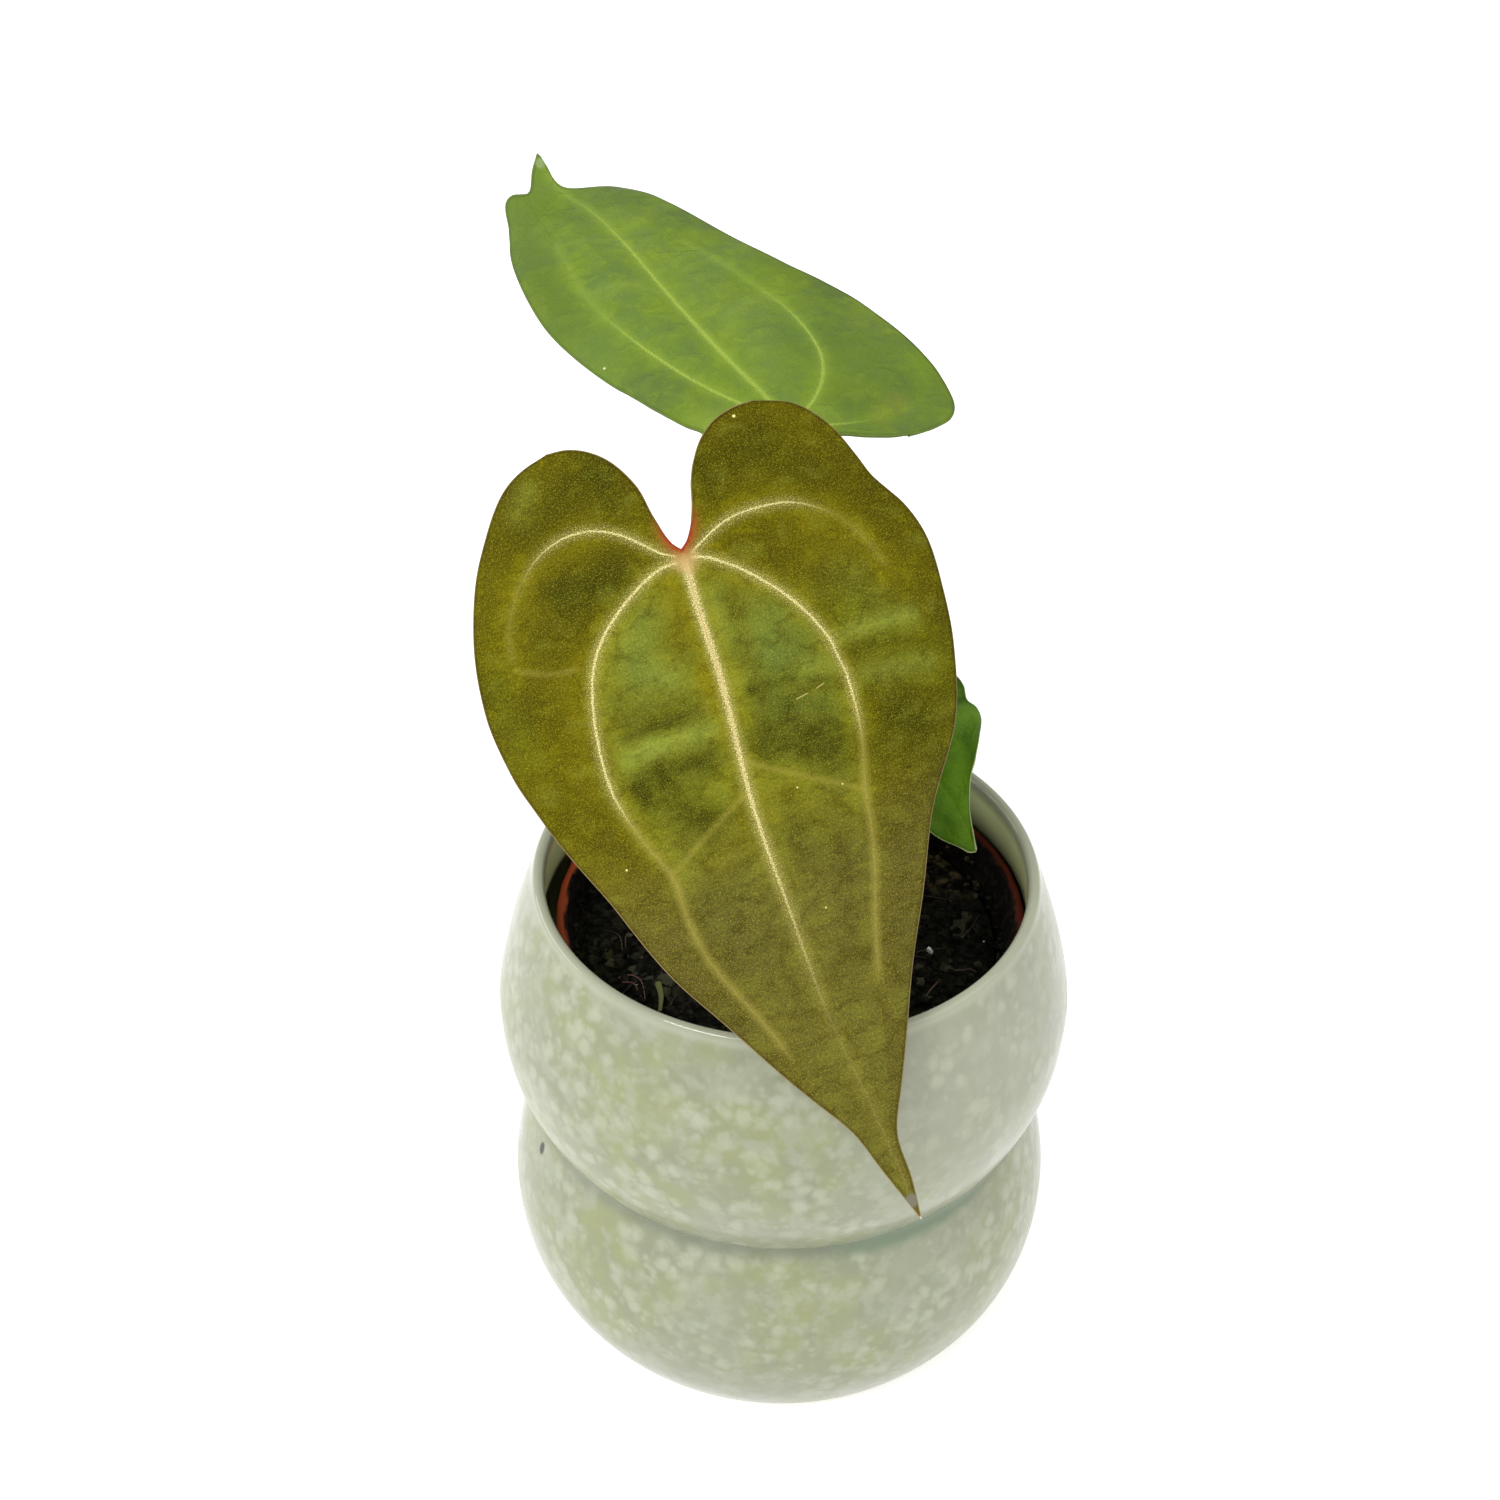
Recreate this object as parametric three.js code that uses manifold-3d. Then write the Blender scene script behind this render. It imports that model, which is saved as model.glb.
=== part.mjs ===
// Potted anthurium hybrid: three heart-shaped leaves on thin stems, growing from a short
// crown in dark potting mix, in a red-brown plastic nursery pot that stands inside a glazed
// two-tier ceramic cover pot.
//
// Millimetres, +Z up. The origin is the centre of the cover pot's flat foot.
// The front leaf hangs towards -Y, the back leaf points towards +Y and -X.

import * as THREE from 'three';
import { mergeVertices } from 'three/addons/utils/BufferGeometryUtils.js';
import Module from 'manifold-3d';

// Cover pot
const POT_HEIGHT = 136;
const POT_FOOT_RADIUS = 58.5;
const POT_LOW_RADIUS = 73.1;
const POT_LOW_Z = 33;
const POT_WAIST_RADIUS = 65.2;
const POT_WAIST_Z = 65.5;
const POT_HIGH_RADIUS = 74.3;
const POT_HIGH_Z = 98.5;
const POT_LIP_RADIUS = 64.2;
const POT_MOUTH_RADIUS = 61;
const POT_WALL = 4.8;
const POT_FLOOR = 8;

// Nursery pot, a standard 12 cm one
const LINER_RIM_RADIUS = 60;
const LINER_RIM_Z = 121.5;
const LINER_BASE_RADIUS = 43;
const LINER_WALL = 1.4;
const LINER_RIM_BAND = 5.5;
const DRAIN_RADIUS = 4;
const DRAIN_CIRCLE = 30;
const DRAINS = 6;

// Potting mix and crown
const SOIL_Z = 111.5;
const SOIL_ROUGHNESS = 1.3;
const CHIPS = 30;
const CROWN_TOP = 119;
const CROWN_BOTTOM = 98;
const CROWN_RADIUS = 6.5;

const GAP = 0.3;
const BLADE_THICKNESS = 0.7;
const PLEAT = 1.1;
const PLEAT_REACH = 7;

const POT_SIDES = 52;
const LINER_SIDES = 44;

const wasm = await Module();
wasm.setup();

const V = (x, y, z) => new THREE.Vector3(x, y, z);

// A small repeatable random source, so that every build gives the same mix.
function randomSource(seed) {
  let state = seed;
  return () => {
    state = (state * 1664525 + 1013904223) % 4294967296;
    return state / 4294967296;
  };
}

function closedGeometry(vertices, faces) {
  const geometry = new THREE.BufferGeometry();
  const flat = vertices.flatMap((p) => [p.x, p.y, p.z]);
  geometry.setAttribute('position', new THREE.Float32BufferAttribute(flat, 3));
  geometry.setIndex(faces.flat());
  return geometry;
}

function toManifold(geometry) {
  const bare = geometry.clone();
  bare.deleteAttribute('normal');
  bare.deleteAttribute('uv');
  const welded = mergeVertices(bare, 1e-4);
  return new wasm.Manifold(new wasm.Mesh({
    numProp: 3,
    vertProperties: new Float32Array(welded.attributes.position.array),
    triVerts: new Uint32Array(welded.index.array),
  }));
}

function fromManifold(solid) {
  const mesh = solid.getMesh();
  const geometry = new THREE.BufferGeometry();
  geometry.setAttribute('position', new THREE.BufferAttribute(mesh.vertProperties.slice(), 3));
  geometry.setIndex(Array.from(mesh.triVerts));
  return geometry;
}

// Crumbs cut loose from a body are dropped.
function largest(solid) {
  return solid.decompose().sort((a, b) => b.volume() - a.volume())[0];
}

// A turned solid: profile points are [radius, z], first and last on the axis.
function turned(profile, sides) {
  const points = profile.map(([r, z]) => new THREE.Vector2(r, z));
  const geometry = new THREE.LatheGeometry(points, sides);
  geometry.rotateX(Math.PI / 2);
  return geometry;
}

// One stretch of a pot wall, flat against the bulge at one end and falling away to the other.
function stretch(fromR, fromZ, toR, toZ, power, steps, bulgeFirst) {
  const points = [];
  for (let i = 1; i <= steps; i += 1) {
    const t = i / steps;
    const share = bulgeFirst ? t ** power : 1 - (1 - t) ** power;
    points.push([fromR + (toR - fromR) * share, fromZ + (toZ - fromZ) * t]);
  }
  return points;
}

function coverPot() {
  const outer = [[0, 0], [POT_FOOT_RADIUS, 0], [62.4, 1.1], [64.8, 3.4]];
  outer.push(...stretch(64.8, 3.4, POT_LOW_RADIUS, POT_LOW_Z, 2.3, 5, false));
  outer.push(...stretch(POT_LOW_RADIUS, POT_LOW_Z, POT_WAIST_RADIUS, POT_WAIST_Z, 1.73, 5, true));
  outer.push(...stretch(POT_WAIST_RADIUS, POT_WAIST_Z, POT_HIGH_RADIUS, POT_HIGH_Z, 2.55, 5, false));
  outer.push(...stretch(POT_HIGH_RADIUS, POT_HIGH_Z, POT_LIP_RADIUS, POT_HEIGHT - 1.6, 1.35, 5, true));
  const lip = [[63.6, POT_HEIGHT - 0.4], [62.6, POT_HEIGHT], [61.6, POT_HEIGHT - 0.4]];
  lip.push([POT_MOUTH_RADIUS, POT_HEIGHT - 1.8]);
  const high = POT_HIGH_RADIUS - POT_WALL;
  const waist = POT_WAIST_RADIUS - POT_WALL;
  const low = POT_LOW_RADIUS - POT_WALL;
  const inner = stretch(POT_MOUTH_RADIUS, POT_HEIGHT - 1.8, high, POT_HIGH_Z, 1.35, 4, false);
  inner.push(...stretch(high, POT_HIGH_Z, waist, POT_WAIST_Z, 2.3, 3, true));
  inner.push(...stretch(waist, POT_WAIST_Z, low, POT_LOW_Z, 2, 3, false));
  inner.push(...stretch(low, POT_LOW_Z, 56, POT_FLOOR + 2, 2.3, 3, true));
  inner.push([52, POT_FLOOR], [0, POT_FLOOR]);
  return turned([...outer, ...lip, ...inner], POT_SIDES);
}

function nurseryPot() {
  const base = POT_FLOOR + GAP;
  const top = LINER_RIM_Z;
  const neck = top - LINER_RIM_BAND;
  const profile = [
    [0, base],
    [LINER_BASE_RADIUS - 1.5, base],
    [LINER_BASE_RADIUS, base + 1.5],
    [57, neck - 0.8],
    [LINER_RIM_RADIUS, neck],
    [LINER_RIM_RADIUS, top - 0.5],
    [LINER_RIM_RADIUS - 0.6, top],
    [LINER_RIM_RADIUS - 2.1, top],
    [LINER_RIM_RADIUS - 2.7, top - 0.5],
    [57 - LINER_WALL, neck - 1],
    [LINER_BASE_RADIUS - LINER_WALL, base + 2.2],
    [LINER_BASE_RADIUS - LINER_WALL - 1, base + LINER_WALL],
    [0, base + LINER_WALL],
  ];
  let pot = toManifold(turned(profile, LINER_SIDES));
  for (let i = 0; i < DRAINS; i += 1) {
    const angle = (2 * Math.PI * i) / DRAINS;
    const hole = new THREE.CylinderGeometry(DRAIN_RADIUS, DRAIN_RADIUS, 8, 16);
    hole.rotateX(Math.PI / 2);
    hole.translate(DRAIN_CIRCLE * Math.cos(angle), DRAIN_CIRCLE * Math.sin(angle), base);
    pot = pot.subtract(toManifold(hole));
  }
  return fromManifold(pot);
}

// A round tapering rod along a smooth line, closed at both ends.
function rod(points, radiusAt, rings, sides, grow = 0) {
  const line = new THREE.CatmullRomCurve3(points, false, 'centripetal');
  const frames = line.computeFrenetFrames(rings, false);
  const vertices = [];
  const faces = [];
  for (let i = 0; i <= rings; i += 1) {
    const centre = line.getPointAt(i / rings);
    if (i === 0) centre.addScaledVector(frames.tangents[0], -grow);
    if (i === rings) centre.addScaledVector(frames.tangents[rings], grow);
    const [thick, wide] = radiusAt(i / rings);
    for (let j = 0; j < sides; j += 1) {
      const angle = (2 * Math.PI * j) / sides;
      vertices.push(centre.clone()
        .addScaledVector(frames.normals[i], (thick + grow) * Math.cos(angle))
        .addScaledVector(frames.binormals[i], (wide + grow) * Math.sin(angle)));
    }
  }
  for (let i = 0; i < rings; i += 1) {
    for (let j = 0; j < sides; j += 1) {
      const a = i * sides + j;
      const b = i * sides + ((j + 1) % sides);
      faces.push([a, b, b + sides], [a, b + sides, a + sides]);
    }
  }
  const first = vertices.length;
  vertices.push(line.getPointAt(0).addScaledVector(frames.tangents[0], -grow));
  vertices.push(line.getPointAt(1).addScaledVector(frames.tangents[rings], grow));
  for (let j = 0; j < sides; j += 1) {
    const k = (j + 1) % sides;
    faces.push([first, k, j]);
    faces.push([first + 1, rings * sides + j, rings * sides + k]);
  }
  return closedGeometry(vertices, faces);
}

// Leaves. Each is drawn flat first, x across and y from the stem joint to the tip, and then
// bent: the midrib falls by the angles in `fall` ([distance, degrees below level]), the whole
// blade is turned about the midrib by `roll`, and both halves curl down by `curl` (1/mm).
const FRONT = {
  joint: V(-24.7, 0, 225.9),
  heading: 28,
  fall: [[-45, 40], [0, 43], [160, 55]],
  roll: 18,
  twist: -0.03,
  curl: [0.0066, 0.0066],
  wave: [0.9, 5, 0.4],
  lobeShare: 0.17,
  notch: [[-0.2, -2.8]],
  midrib: [[-1, 12.6], [-1.3, 28], [-3.4, 58], [-2.6, 82], [-1.1, 108], [2.2, 128], [5, 146],
    [7, 159.8]],
  left: {
    inner: [[-22, -34.2], [-12.7, -31.7], [-8.3, -26.8], [-4.9, -19.6], [-3.5, -11.5], [-1.6, -4.6]],
    outer: [[-22, -34.2], [-33.3, -31.1], [-45.6, -17.7], [-52.9, 0.5], [-56.5, 20], [-54.7, 35.2],
      [-46.6, 57.7], [-38, 79.5], [-25, 102.7], [-10.5, 125.3], [-2.6, 137.5], [2, 148.6], [7, 159.8]],
  },
  right: {
    inner: [[27, -30.5], [18.5, -29.5], [11.6, -24.5], [7.6, -17.5], [5, -10.1], [2, -4.6]],
    outer: [[27, -30.5], [37, -27.2], [43.8, -19.9], [48.6, -10.7], [54.2, 1], [57.6, 15], [56.5, 34.2],
      [48, 55.1], [35.7, 73.6], [25.5, 94.3], [17.7, 112.1], [10.6, 128.5], [6.9, 139], [7.4, 149.6],
      [7, 159.8]],
  },
  veins: [
    [[-6, -1], [-17, 5.2], [-27.5, 15.7], [-32.2, 31], [-32.8, 46], [-27.6, 64.7], [-24.8, 85], [-18, 100],
      [-2, 115]],
    [[-6, -5.6], [-17, -13.2], [-30, -13.1], [-40.5, -4.5], [-44.2, 10]],
    [[3.5, -0.3], [13.5, 8.4], [22, 20.6], [26.6, 36], [25.6, 50], [21, 69.6], [16.4, 90.7], [10.8, 109]],
    [[5.4, -5.8], [19, -6.6], [33, -3.2], [41, 5], [46, 17]],
  ],
};

const BACK = {
  joint: V(-0.8, 50, 233.6),
  heading: 209,
  fall: [[-40, -12], [0, -12], [50, -9], [80, -7], [100, -4], [112, 0], [118, -10], [126, -55], [140, -70]],
  roll: -8,
  twist: 0,
  curl: [0.005, 0.011],
  wave: [0.5, 4, 1.3],
  lobeShare: 0.14,
  notch: [[0, -2.2]],
  midrib: [[0.3, 10.4], [2.3, 32.8], [3.2, 60], [2.8, 90], [3.4, 110], [6.6, 124], [8.9, 132.1]],
  left: {
    inner: [[-24, -16.2], [-18, -14.3], [-11.6, -10.4], [-5.5, -6.4], [-2, -3.6]],
    outer: [[-24, -16.2], [-33.4, -15.6], [-41.1, -10.8], [-45, 2.2], [-45.2, 16], [-41.9, 37.5],
      [-31.2, 60.3], [-23, 80], [-16.2, 100.8], [-7.9, 116.8], [4.6, 121.8], [7.2, 127.6], [8.9, 132.1]],
  },
  right: {
    inner: [[13, -15.5], [8.5, -13.2], [5, -9.6], [2.4, -5.4]],
    outer: [[13, -15.5], [18.5, -15], [22.4, -10.5], [23.3, -5], [22, 0.5], [19.8, 6], [19.4, 10],
      [21.6, 14], [24.4, 20], [27, 27], [29.7, 38.3], [33.6, 56.1], [34.7, 72], [32.8, 90.9],
      [28.8, 106.7], [23.4, 118.6], [21.2, 122.9], [18.6, 123.9], [14.2, 123.2], [11.6, 127.3],
      [8.9, 132.1]],
  },
  veins: [
    [[7.4, 13.9], [13.6, 29.1], [19.6, 56], [21, 74], [17.2, 103]],
    [[4, -1], [11, -3], [16.5, 1], [18, 10], [21, 20]],
    [[-7, 3.6], [-15, 11], [-20, 21], [-21.4, 38], [-17.2, 57], [-10, 82]],
    [[-5, -3], [-17.4, -6.9], [-29, -7.4], [-38, -2], [-40.5, 12]],
  ],
};

const SIDE = {
  joint: V(31.6, 31.8, 150),
  heading: 45,
  fall: [[-30, 20], [0, 26], [45, 42]],
  roll: 15,
  twist: 0,
  curl: [0.01, 0.01],
  wave: [0.7, 3, 2.1],
  lobeShare: 0.25,
  notch: [[0, -1.6]],
  midrib: [[0, 8], [-0.5, 18], [-1.6, 27], [-2.9, 33]],
  left: {
    inner: [[-11, -12], [-6.5, -10.4], [-3.2, -6.6], [-1.2, -3]],
    outer: [[-11, -12], [-17.2, -7.5], [-18.6, 1], [-16.4, 10], [-11, 19.8], [-8.9, 24.8], [-6.1, 29.8],
      [-4.6, 32.2], [-2.9, 33]],
  },
  right: {
    inner: [[18, -14.5], [11, -12.8], [5.5, -8.4], [1.8, -3.6]],
    outer: [[18, -14.5], [24, -12.6], [26.2, -8.6], [25.4, -5.2], [22.4, -0.9], [23.3, 1.8], [22.6, 5],
      [18.4, 8.9], [13.3, 12.5], [8.5, 16], [4, 21.3], [0.3, 26.8], [-1.7, 30.6], [-2.9, 33]],
  },
  veins: [
    [[-3, 1.5], [-9, 7], [-10, 15], [-6, 24]],
    [[3, 1], [11, 3], [10.5, 10], [4, 17]],
  ],
};

function readTable(table, at) {
  let i = 1;
  while (i < table.length - 1 && table[i][0] < at) i += 1;
  const [x0, y0] = table[i - 1];
  const [x1, y1] = table[i];
  const t = Math.min(1, Math.max(0, (at - x0) / (x1 - x0)));
  return y0 + (y1 - y0) * t;
}

// Runs down the midrib in 1 mm steps and keeps how far forward and down each step has got.
function midribStations(leaf) {
  const start = -60;
  const end = 200;
  const stations = [{ forward: 0, down: 0 }];
  for (let y = start; y < end; y += 1) {
    const a = THREE.MathUtils.degToRad(readTable(leaf.fall, y));
    const b = THREE.MathUtils.degToRad(readTable(leaf.fall, y + 1));
    const last = stations[stations.length - 1];
    stations.push({
      forward: last.forward + (Math.cos(a) + Math.cos(b)) / 2,
      down: last.down + (Math.sin(a) + Math.sin(b)) / 2,
    });
  }
  const zero = stations[-start];
  return (y) => {
    const k = Math.min(end - start - 1, Math.max(0, Math.floor(y - start)));
    const t = y - start - k;
    const a = stations[k];
    const b = stations[k + 1];
    return {
      forward: a.forward + (b.forward - a.forward) * t - zero.forward,
      down: a.down + (b.down - a.down) * t - zero.down,
    };
  };
}

// Bends a flat leaf point to its place in the air, lifted off the face by `lift`.
function bend(leaf) {
  const stations = midribStations(leaf);
  const heading = THREE.MathUtils.degToRad(leaf.heading);
  const ahead = V(Math.sin(heading), -Math.cos(heading), 0);
  const across = V(Math.cos(heading), Math.sin(heading), 0);
  return (x, y, lift) => {
    const { forward, down } = stations(y);
    const slope = THREE.MathUtils.degToRad(readTable(leaf.fall, y));
    const face = ahead.clone().multiplyScalar(Math.sin(slope)).add(V(0, 0, Math.cos(slope)));
    const roll = THREE.MathUtils.degToRad(leaf.roll + leaf.twist * y);
    const side = across.clone().multiplyScalar(Math.cos(roll)).addScaledVector(face, Math.sin(roll));
    const up = face.clone().multiplyScalar(Math.cos(roll)).addScaledVector(across, -Math.sin(roll));
    const curl = x > 0 ? leaf.curl[1] : leaf.curl[0];
    const turn = curl * x;
    const normal = up.clone().multiplyScalar(Math.cos(turn)).addScaledVector(side, Math.sin(turn));
    return leaf.joint.clone()
      .addScaledVector(ahead, forward)
      .addScaledVector(V(0, 0, 1), -down)
      .addScaledVector(side, Math.sin(turn) / curl)
      .addScaledVector(up, -(1 - Math.cos(turn)) / curl)
      .addScaledVector(normal, lift);
  };
}

function smoothLine(points, count) {
  const line = new THREE.CatmullRomCurve3(points.map(([x, y]) => V(x, y, 0)), false, 'centripetal');
  return line.getSpacedPoints(count);
}

// The blade puffs up between its main veins: the veins lie in shallow valleys.
function pleat(leaf) {
  const lines = [...leaf.veins, [...leaf.notch, ...leaf.midrib]].map((v) => smoothLine(v, 40)).flat();
  return (x, y) => {
    const nearest = Math.min(...lines.map((p) => Math.hypot(p.x - x, p.y - y)));
    return PLEAT * (1 - Math.exp(-((nearest / PLEAT_REACH) ** 2)));
  };
}

function blade(leaf, stations, steps) {
  const place = bend(leaf);
  const puff = pleat(leaf);
  const [waveHeight, waveCount, wavePhase] = leaf.wave;
  const vertices = [];
  const faces = [];
  const addPoint = (p, t, s) => {
    const wave = waveHeight * t ** 3 * Math.sin(2 * Math.PI * waveCount * s + wavePhase);
    const lift = puff(p.x, p.y) * (1 - t ** 6) + wave * Math.min(1, 8 * s * (1 - s));
    vertices.push(place(p.x, p.y, lift), place(p.x, p.y, lift - BLADE_THICKNESS));
    return vertices.length - 2;
  };
  const lobeSteps = Math.round(stations * leaf.lobeShare);
  const ribLine = smoothLine([...leaf.notch, ...leaf.midrib], stations - lobeSteps);
  const rib = ribLine.map((p, i) => {
    const atTip = i === ribLine.length - 1;
    return addPoint(p, atTip ? 1 : 0, (lobeSteps + i) / stations);
  });
  for (const half of ['left', 'right']) {
    const lobe = smoothLine([...leaf[half].inner, ...leaf.notch], lobeSteps);
    const inner = [...lobe, ...ribLine.slice(1)];
    const outer = smoothLine(leaf[half].outer, stations);
    const rows = outer.map((edge, i) => {
      if (i === 0) return new Array(steps + 1).fill(addPoint(edge, 1, 0));
      if (i === stations) return new Array(steps + 1).fill(rib[rib.length - 1]);
      const first = i < lobeSteps ? addPoint(inner[i], 0, i / stations) : rib[i - lobeSteps];
      const row = [first];
      for (let j = 1; j <= steps; j += 1) {
        row.push(addPoint(inner[i].clone().lerp(edge, j / steps), j / steps, i / stations));
      }
      return row;
    });
    const flip = half === 'left';
    const face = (a, b, c) => {
      if (a === b || b === c || a === c) return;
      const [p, q] = flip ? [c, b] : [b, c];
      faces.push([a, p, q], [a + 1, q + 1, p + 1]);
    };
    const wall = (a, b) => {
      if (a === b) return;
      const [p, q] = flip ? [b, a] : [a, b];
      faces.push([p, p + 1, q + 1], [p, q + 1, q]);
    };
    for (let i = 0; i < stations; i += 1) {
      for (let j = 0; j < steps; j += 1) {
        face(rows[i][j], rows[i + 1][j], rows[i + 1][j + 1]);
        face(rows[i][j], rows[i + 1][j + 1], rows[i][j + 1]);
      }
      wall(rows[i + 1][steps], rows[i][steps]);
      if (i < lobeSteps) wall(rows[i][0], rows[i + 1][0]);
    }
  }
  return closedGeometry(vertices, faces);
}

// A stem: a sheathed base, a slim length and a thicker knee just under the blade. It stands in
// a socket of the crown and ends a hair under the blade, square to it.
const STEM_BASE_Z = 113.6;

function stemLine(leaf, base, bends) {
  const place = bend(leaf);
  const under = (depth) => place(0, 0.6, -BLADE_THICKNESS - depth);
  return [V(base[0], base[1], STEM_BASE_Z), ...bends.map((p) => V(...p)), under(9), under(0.45)];
}

function stemRadius(t, base, slim, knee) {
  const sheath = (base - slim) * Math.exp(-((t / 0.07) ** 2));
  const swelling = (knee - slim) * Math.exp(-(((t - 0.955) / 0.05) ** 2));
  return slim + sheath + swelling;
}

const STEMS = {
  front: {
    line: stemLine(FRONT, [-3.3, -2.6], [[-6.2, -2.6, 135], [-12, 1.2, 170], [-19, 7.2, 203]]),
    radius: (t) => stemRadius(t, 2.3, 1.55, 2),
  },
  back: {
    line: stemLine(BACK, [-0.2, 4], [[0.6, 8.4, 135], [1.6, 20.5, 172], [1.2, 36, 205]]),
    radius: (t) => stemRadius(t, 2.3, 1.45, 1.9),
  },
  side: {
    line: stemLine(SIDE, [4.1, -0.8], [[7.8, 3.6, 122.5], [15.5, 13.5, 131.5], [24.5, 26.5, 138]]),
    radius: (t) => stemRadius(t, 1.9, 1.1, 1.4),
  },
};

// Dry sheath leaves left standing at the foot of the stems: flat, pointed and slightly bowed.
const SHEATHS = {
  left: [[-6.6, 2.2, 113.4], [-8.4, 3, 122], [-8.8, 3.4, 131], [-8.2, 3.4, 139]],
  right: [[3.6, -5.6, 113.4], [4.8, -7.4, 120], [5, -8.2, 127], [4.2, -8, 133]],
};

function sheath(points, grow = 0) {
  const width = (t) => 2.6 * (1 - t ** 2) + 0.25;
  return rod(points.map((p) => V(...p)), (t) => [0.5, width(t)], 8, 10, grow);
}

function stem(name, grow = 0) {
  const { line, radius } = STEMS[name];
  return rod(line, (t) => [radius(t), radius(t)], 26, 10, grow);
}

// Short thick roots that leave the crown and dive into the mix.
const ROOTS = [
  [[-4, 1, 114.5], [-9, 4, 114.6], [-14, 8.5, 112.6], [-18, 13, 107.5]],
  [[3, 4, 114], [7, 9, 114.2], [9, 14, 111.6], [10, 17, 107]],
  [[3, -3, 114.2], [9, -6, 113.8], [14, -8.5, 111.2], [17, -10, 106.5]],
];

function crownBody(grow) {
  const r = CROWN_RADIUS + grow;
  const top = CROWN_TOP + grow;
  const bottom = CROWN_BOTTOM - grow;
  const profile = [[0, bottom], [r - 2.5, bottom], [r - 0.4, bottom + 5], [r + 0.7, 106], [r - 0.2, 110],
    [r + 0.9, 113.5], [r + 0.3, 117], [r - 1.6, top - 0.4], [0, top]];
  let body = toManifold(turned(profile, 20));
  for (const points of ROOTS) {
    const root = rod(points.map((p) => V(...p)), (t) => [1.7 - 0.6 * t, 1.7 - 0.6 * t], 8, 8, grow);
    body = body.add(toManifold(root));
  }
  return body;
}

function standing(grow) {
  const rods = [...Object.keys(STEMS).map((name) => stem(name, grow))];
  rods.push(...Object.values(SHEATHS).map((points) => sheath(points, grow)));
  return rods.map(toManifold);
}

function crown() {
  let body = crownBody(0);
  for (const rodShape of standing(GAP)) body = body.subtract(rodShape);
  return fromManifold(largest(body));
}

// Potting mix: a plug with a rough, crumbly top and chips of bark lying half sunk in it.
function linerInside(z) {
  const low = POT_FLOOR + GAP + 2.2;
  const high = LINER_RIM_Z - LINER_RIM_BAND - 1;
  const share = (z - low) / (high - low);
  return LINER_BASE_RADIUS - LINER_WALL + share * (57 - LINER_BASE_RADIUS);
}

function pottingMix() {
  const random = randomSource(41);
  const rings = 11;
  const spokes = 40;
  const edgeZ = SOIL_Z - 0.6;
  const bottomZ = POT_FLOOR + 2 * GAP + LINER_WALL + 0.6;
  const edge = linerInside(edgeZ) - GAP - 0.3;
  const vertices = [V(0, 0, SOIL_Z)];
  const faces = [];
  for (let i = 1; i <= rings; i += 1) {
    const radius = (edge * i) / rings;
    for (let j = 0; j < spokes; j += 1) {
      const angle = (2 * Math.PI * (j + (i % 2) * 0.5)) / spokes;
      const rough = i === rings ? 0 : SOIL_ROUGHNESS * (random() * 2 - 1);
      const z = (i === rings ? edgeZ : SOIL_Z) + rough;
      vertices.push(V(radius * Math.cos(angle), radius * Math.sin(angle), z));
    }
  }
  for (let j = 0; j < spokes; j += 1) faces.push([0, 1 + j, 1 + ((j + 1) % spokes)]);
  for (let i = 1; i < rings; i += 1) {
    for (let j = 0; j < spokes; j += 1) {
      const a = 1 + (i - 1) * spokes + j;
      const b = 1 + (i - 1) * spokes + ((j + 1) % spokes);
      const c = a + spokes;
      const d = b + spokes;
      if (i % 2 === 1) faces.push([a, c, b], [b, c, d]);
      else faces.push([a, c, d], [a, d, b]);
    }
  }
  const rim = 1 + (rings - 1) * spokes;
  const foot = vertices.length;
  const bottomEdge = linerInside(bottomZ) - GAP - 0.8;
  for (let j = 0; j < spokes; j += 1) {
    const angle = (2 * Math.PI * (j + (rings % 2) * 0.5)) / spokes;
    vertices.push(V(bottomEdge * Math.cos(angle), bottomEdge * Math.sin(angle), bottomZ));
  }
  vertices.push(V(0, 0, bottomZ));
  for (let j = 0; j < spokes; j += 1) {
    const k = (j + 1) % spokes;
    faces.push([rim + j, foot + j, foot + k], [rim + j, foot + k, rim + k]);
    faces.push([foot + j, vertices.length - 1, foot + k]);
  }
  let mix = toManifold(closedGeometry(vertices, faces));
  for (let i = 0; i < CHIPS; i += 1) {
    const chip = new THREE.IcosahedronGeometry(1, 0);
    chip.scale(1.6 + 2 * random(), 1.3 + 1.4 * random(), 1 + 0.9 * random());
    chip.rotateX(0.9 * (random() - 0.5));
    chip.rotateZ(2 * Math.PI * random());
    const radius = 12 + (edge - 18) * Math.sqrt(random());
    const angle = 2 * Math.PI * random();
    chip.translate(radius * Math.cos(angle), radius * Math.sin(angle), SOIL_Z + 0.5);
    mix = mix.add(toManifold(chip));
  }
  mix = mix.subtract(crownBody(GAP + 0.05));
  for (const rodShape of standing(GAP + 0.05)) mix = mix.subtract(rodShape);
  return fromManifold(largest(mix));
}

function paint(colour, roughness) {
  return new THREE.MeshStandardMaterial({ color: colour, roughness, metalness: 0 });
}

const part = new THREE.Group();
part.name = 'potted_anthurium';

function addPiece(name, geometry, material) {
  const flat = geometry.index ? geometry : mergeVertices(geometry, 1e-4);
  flat.computeVertexNormals();
  const mesh = new THREE.Mesh(flat, material);
  mesh.name = name;
  part.add(mesh);
}

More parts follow.
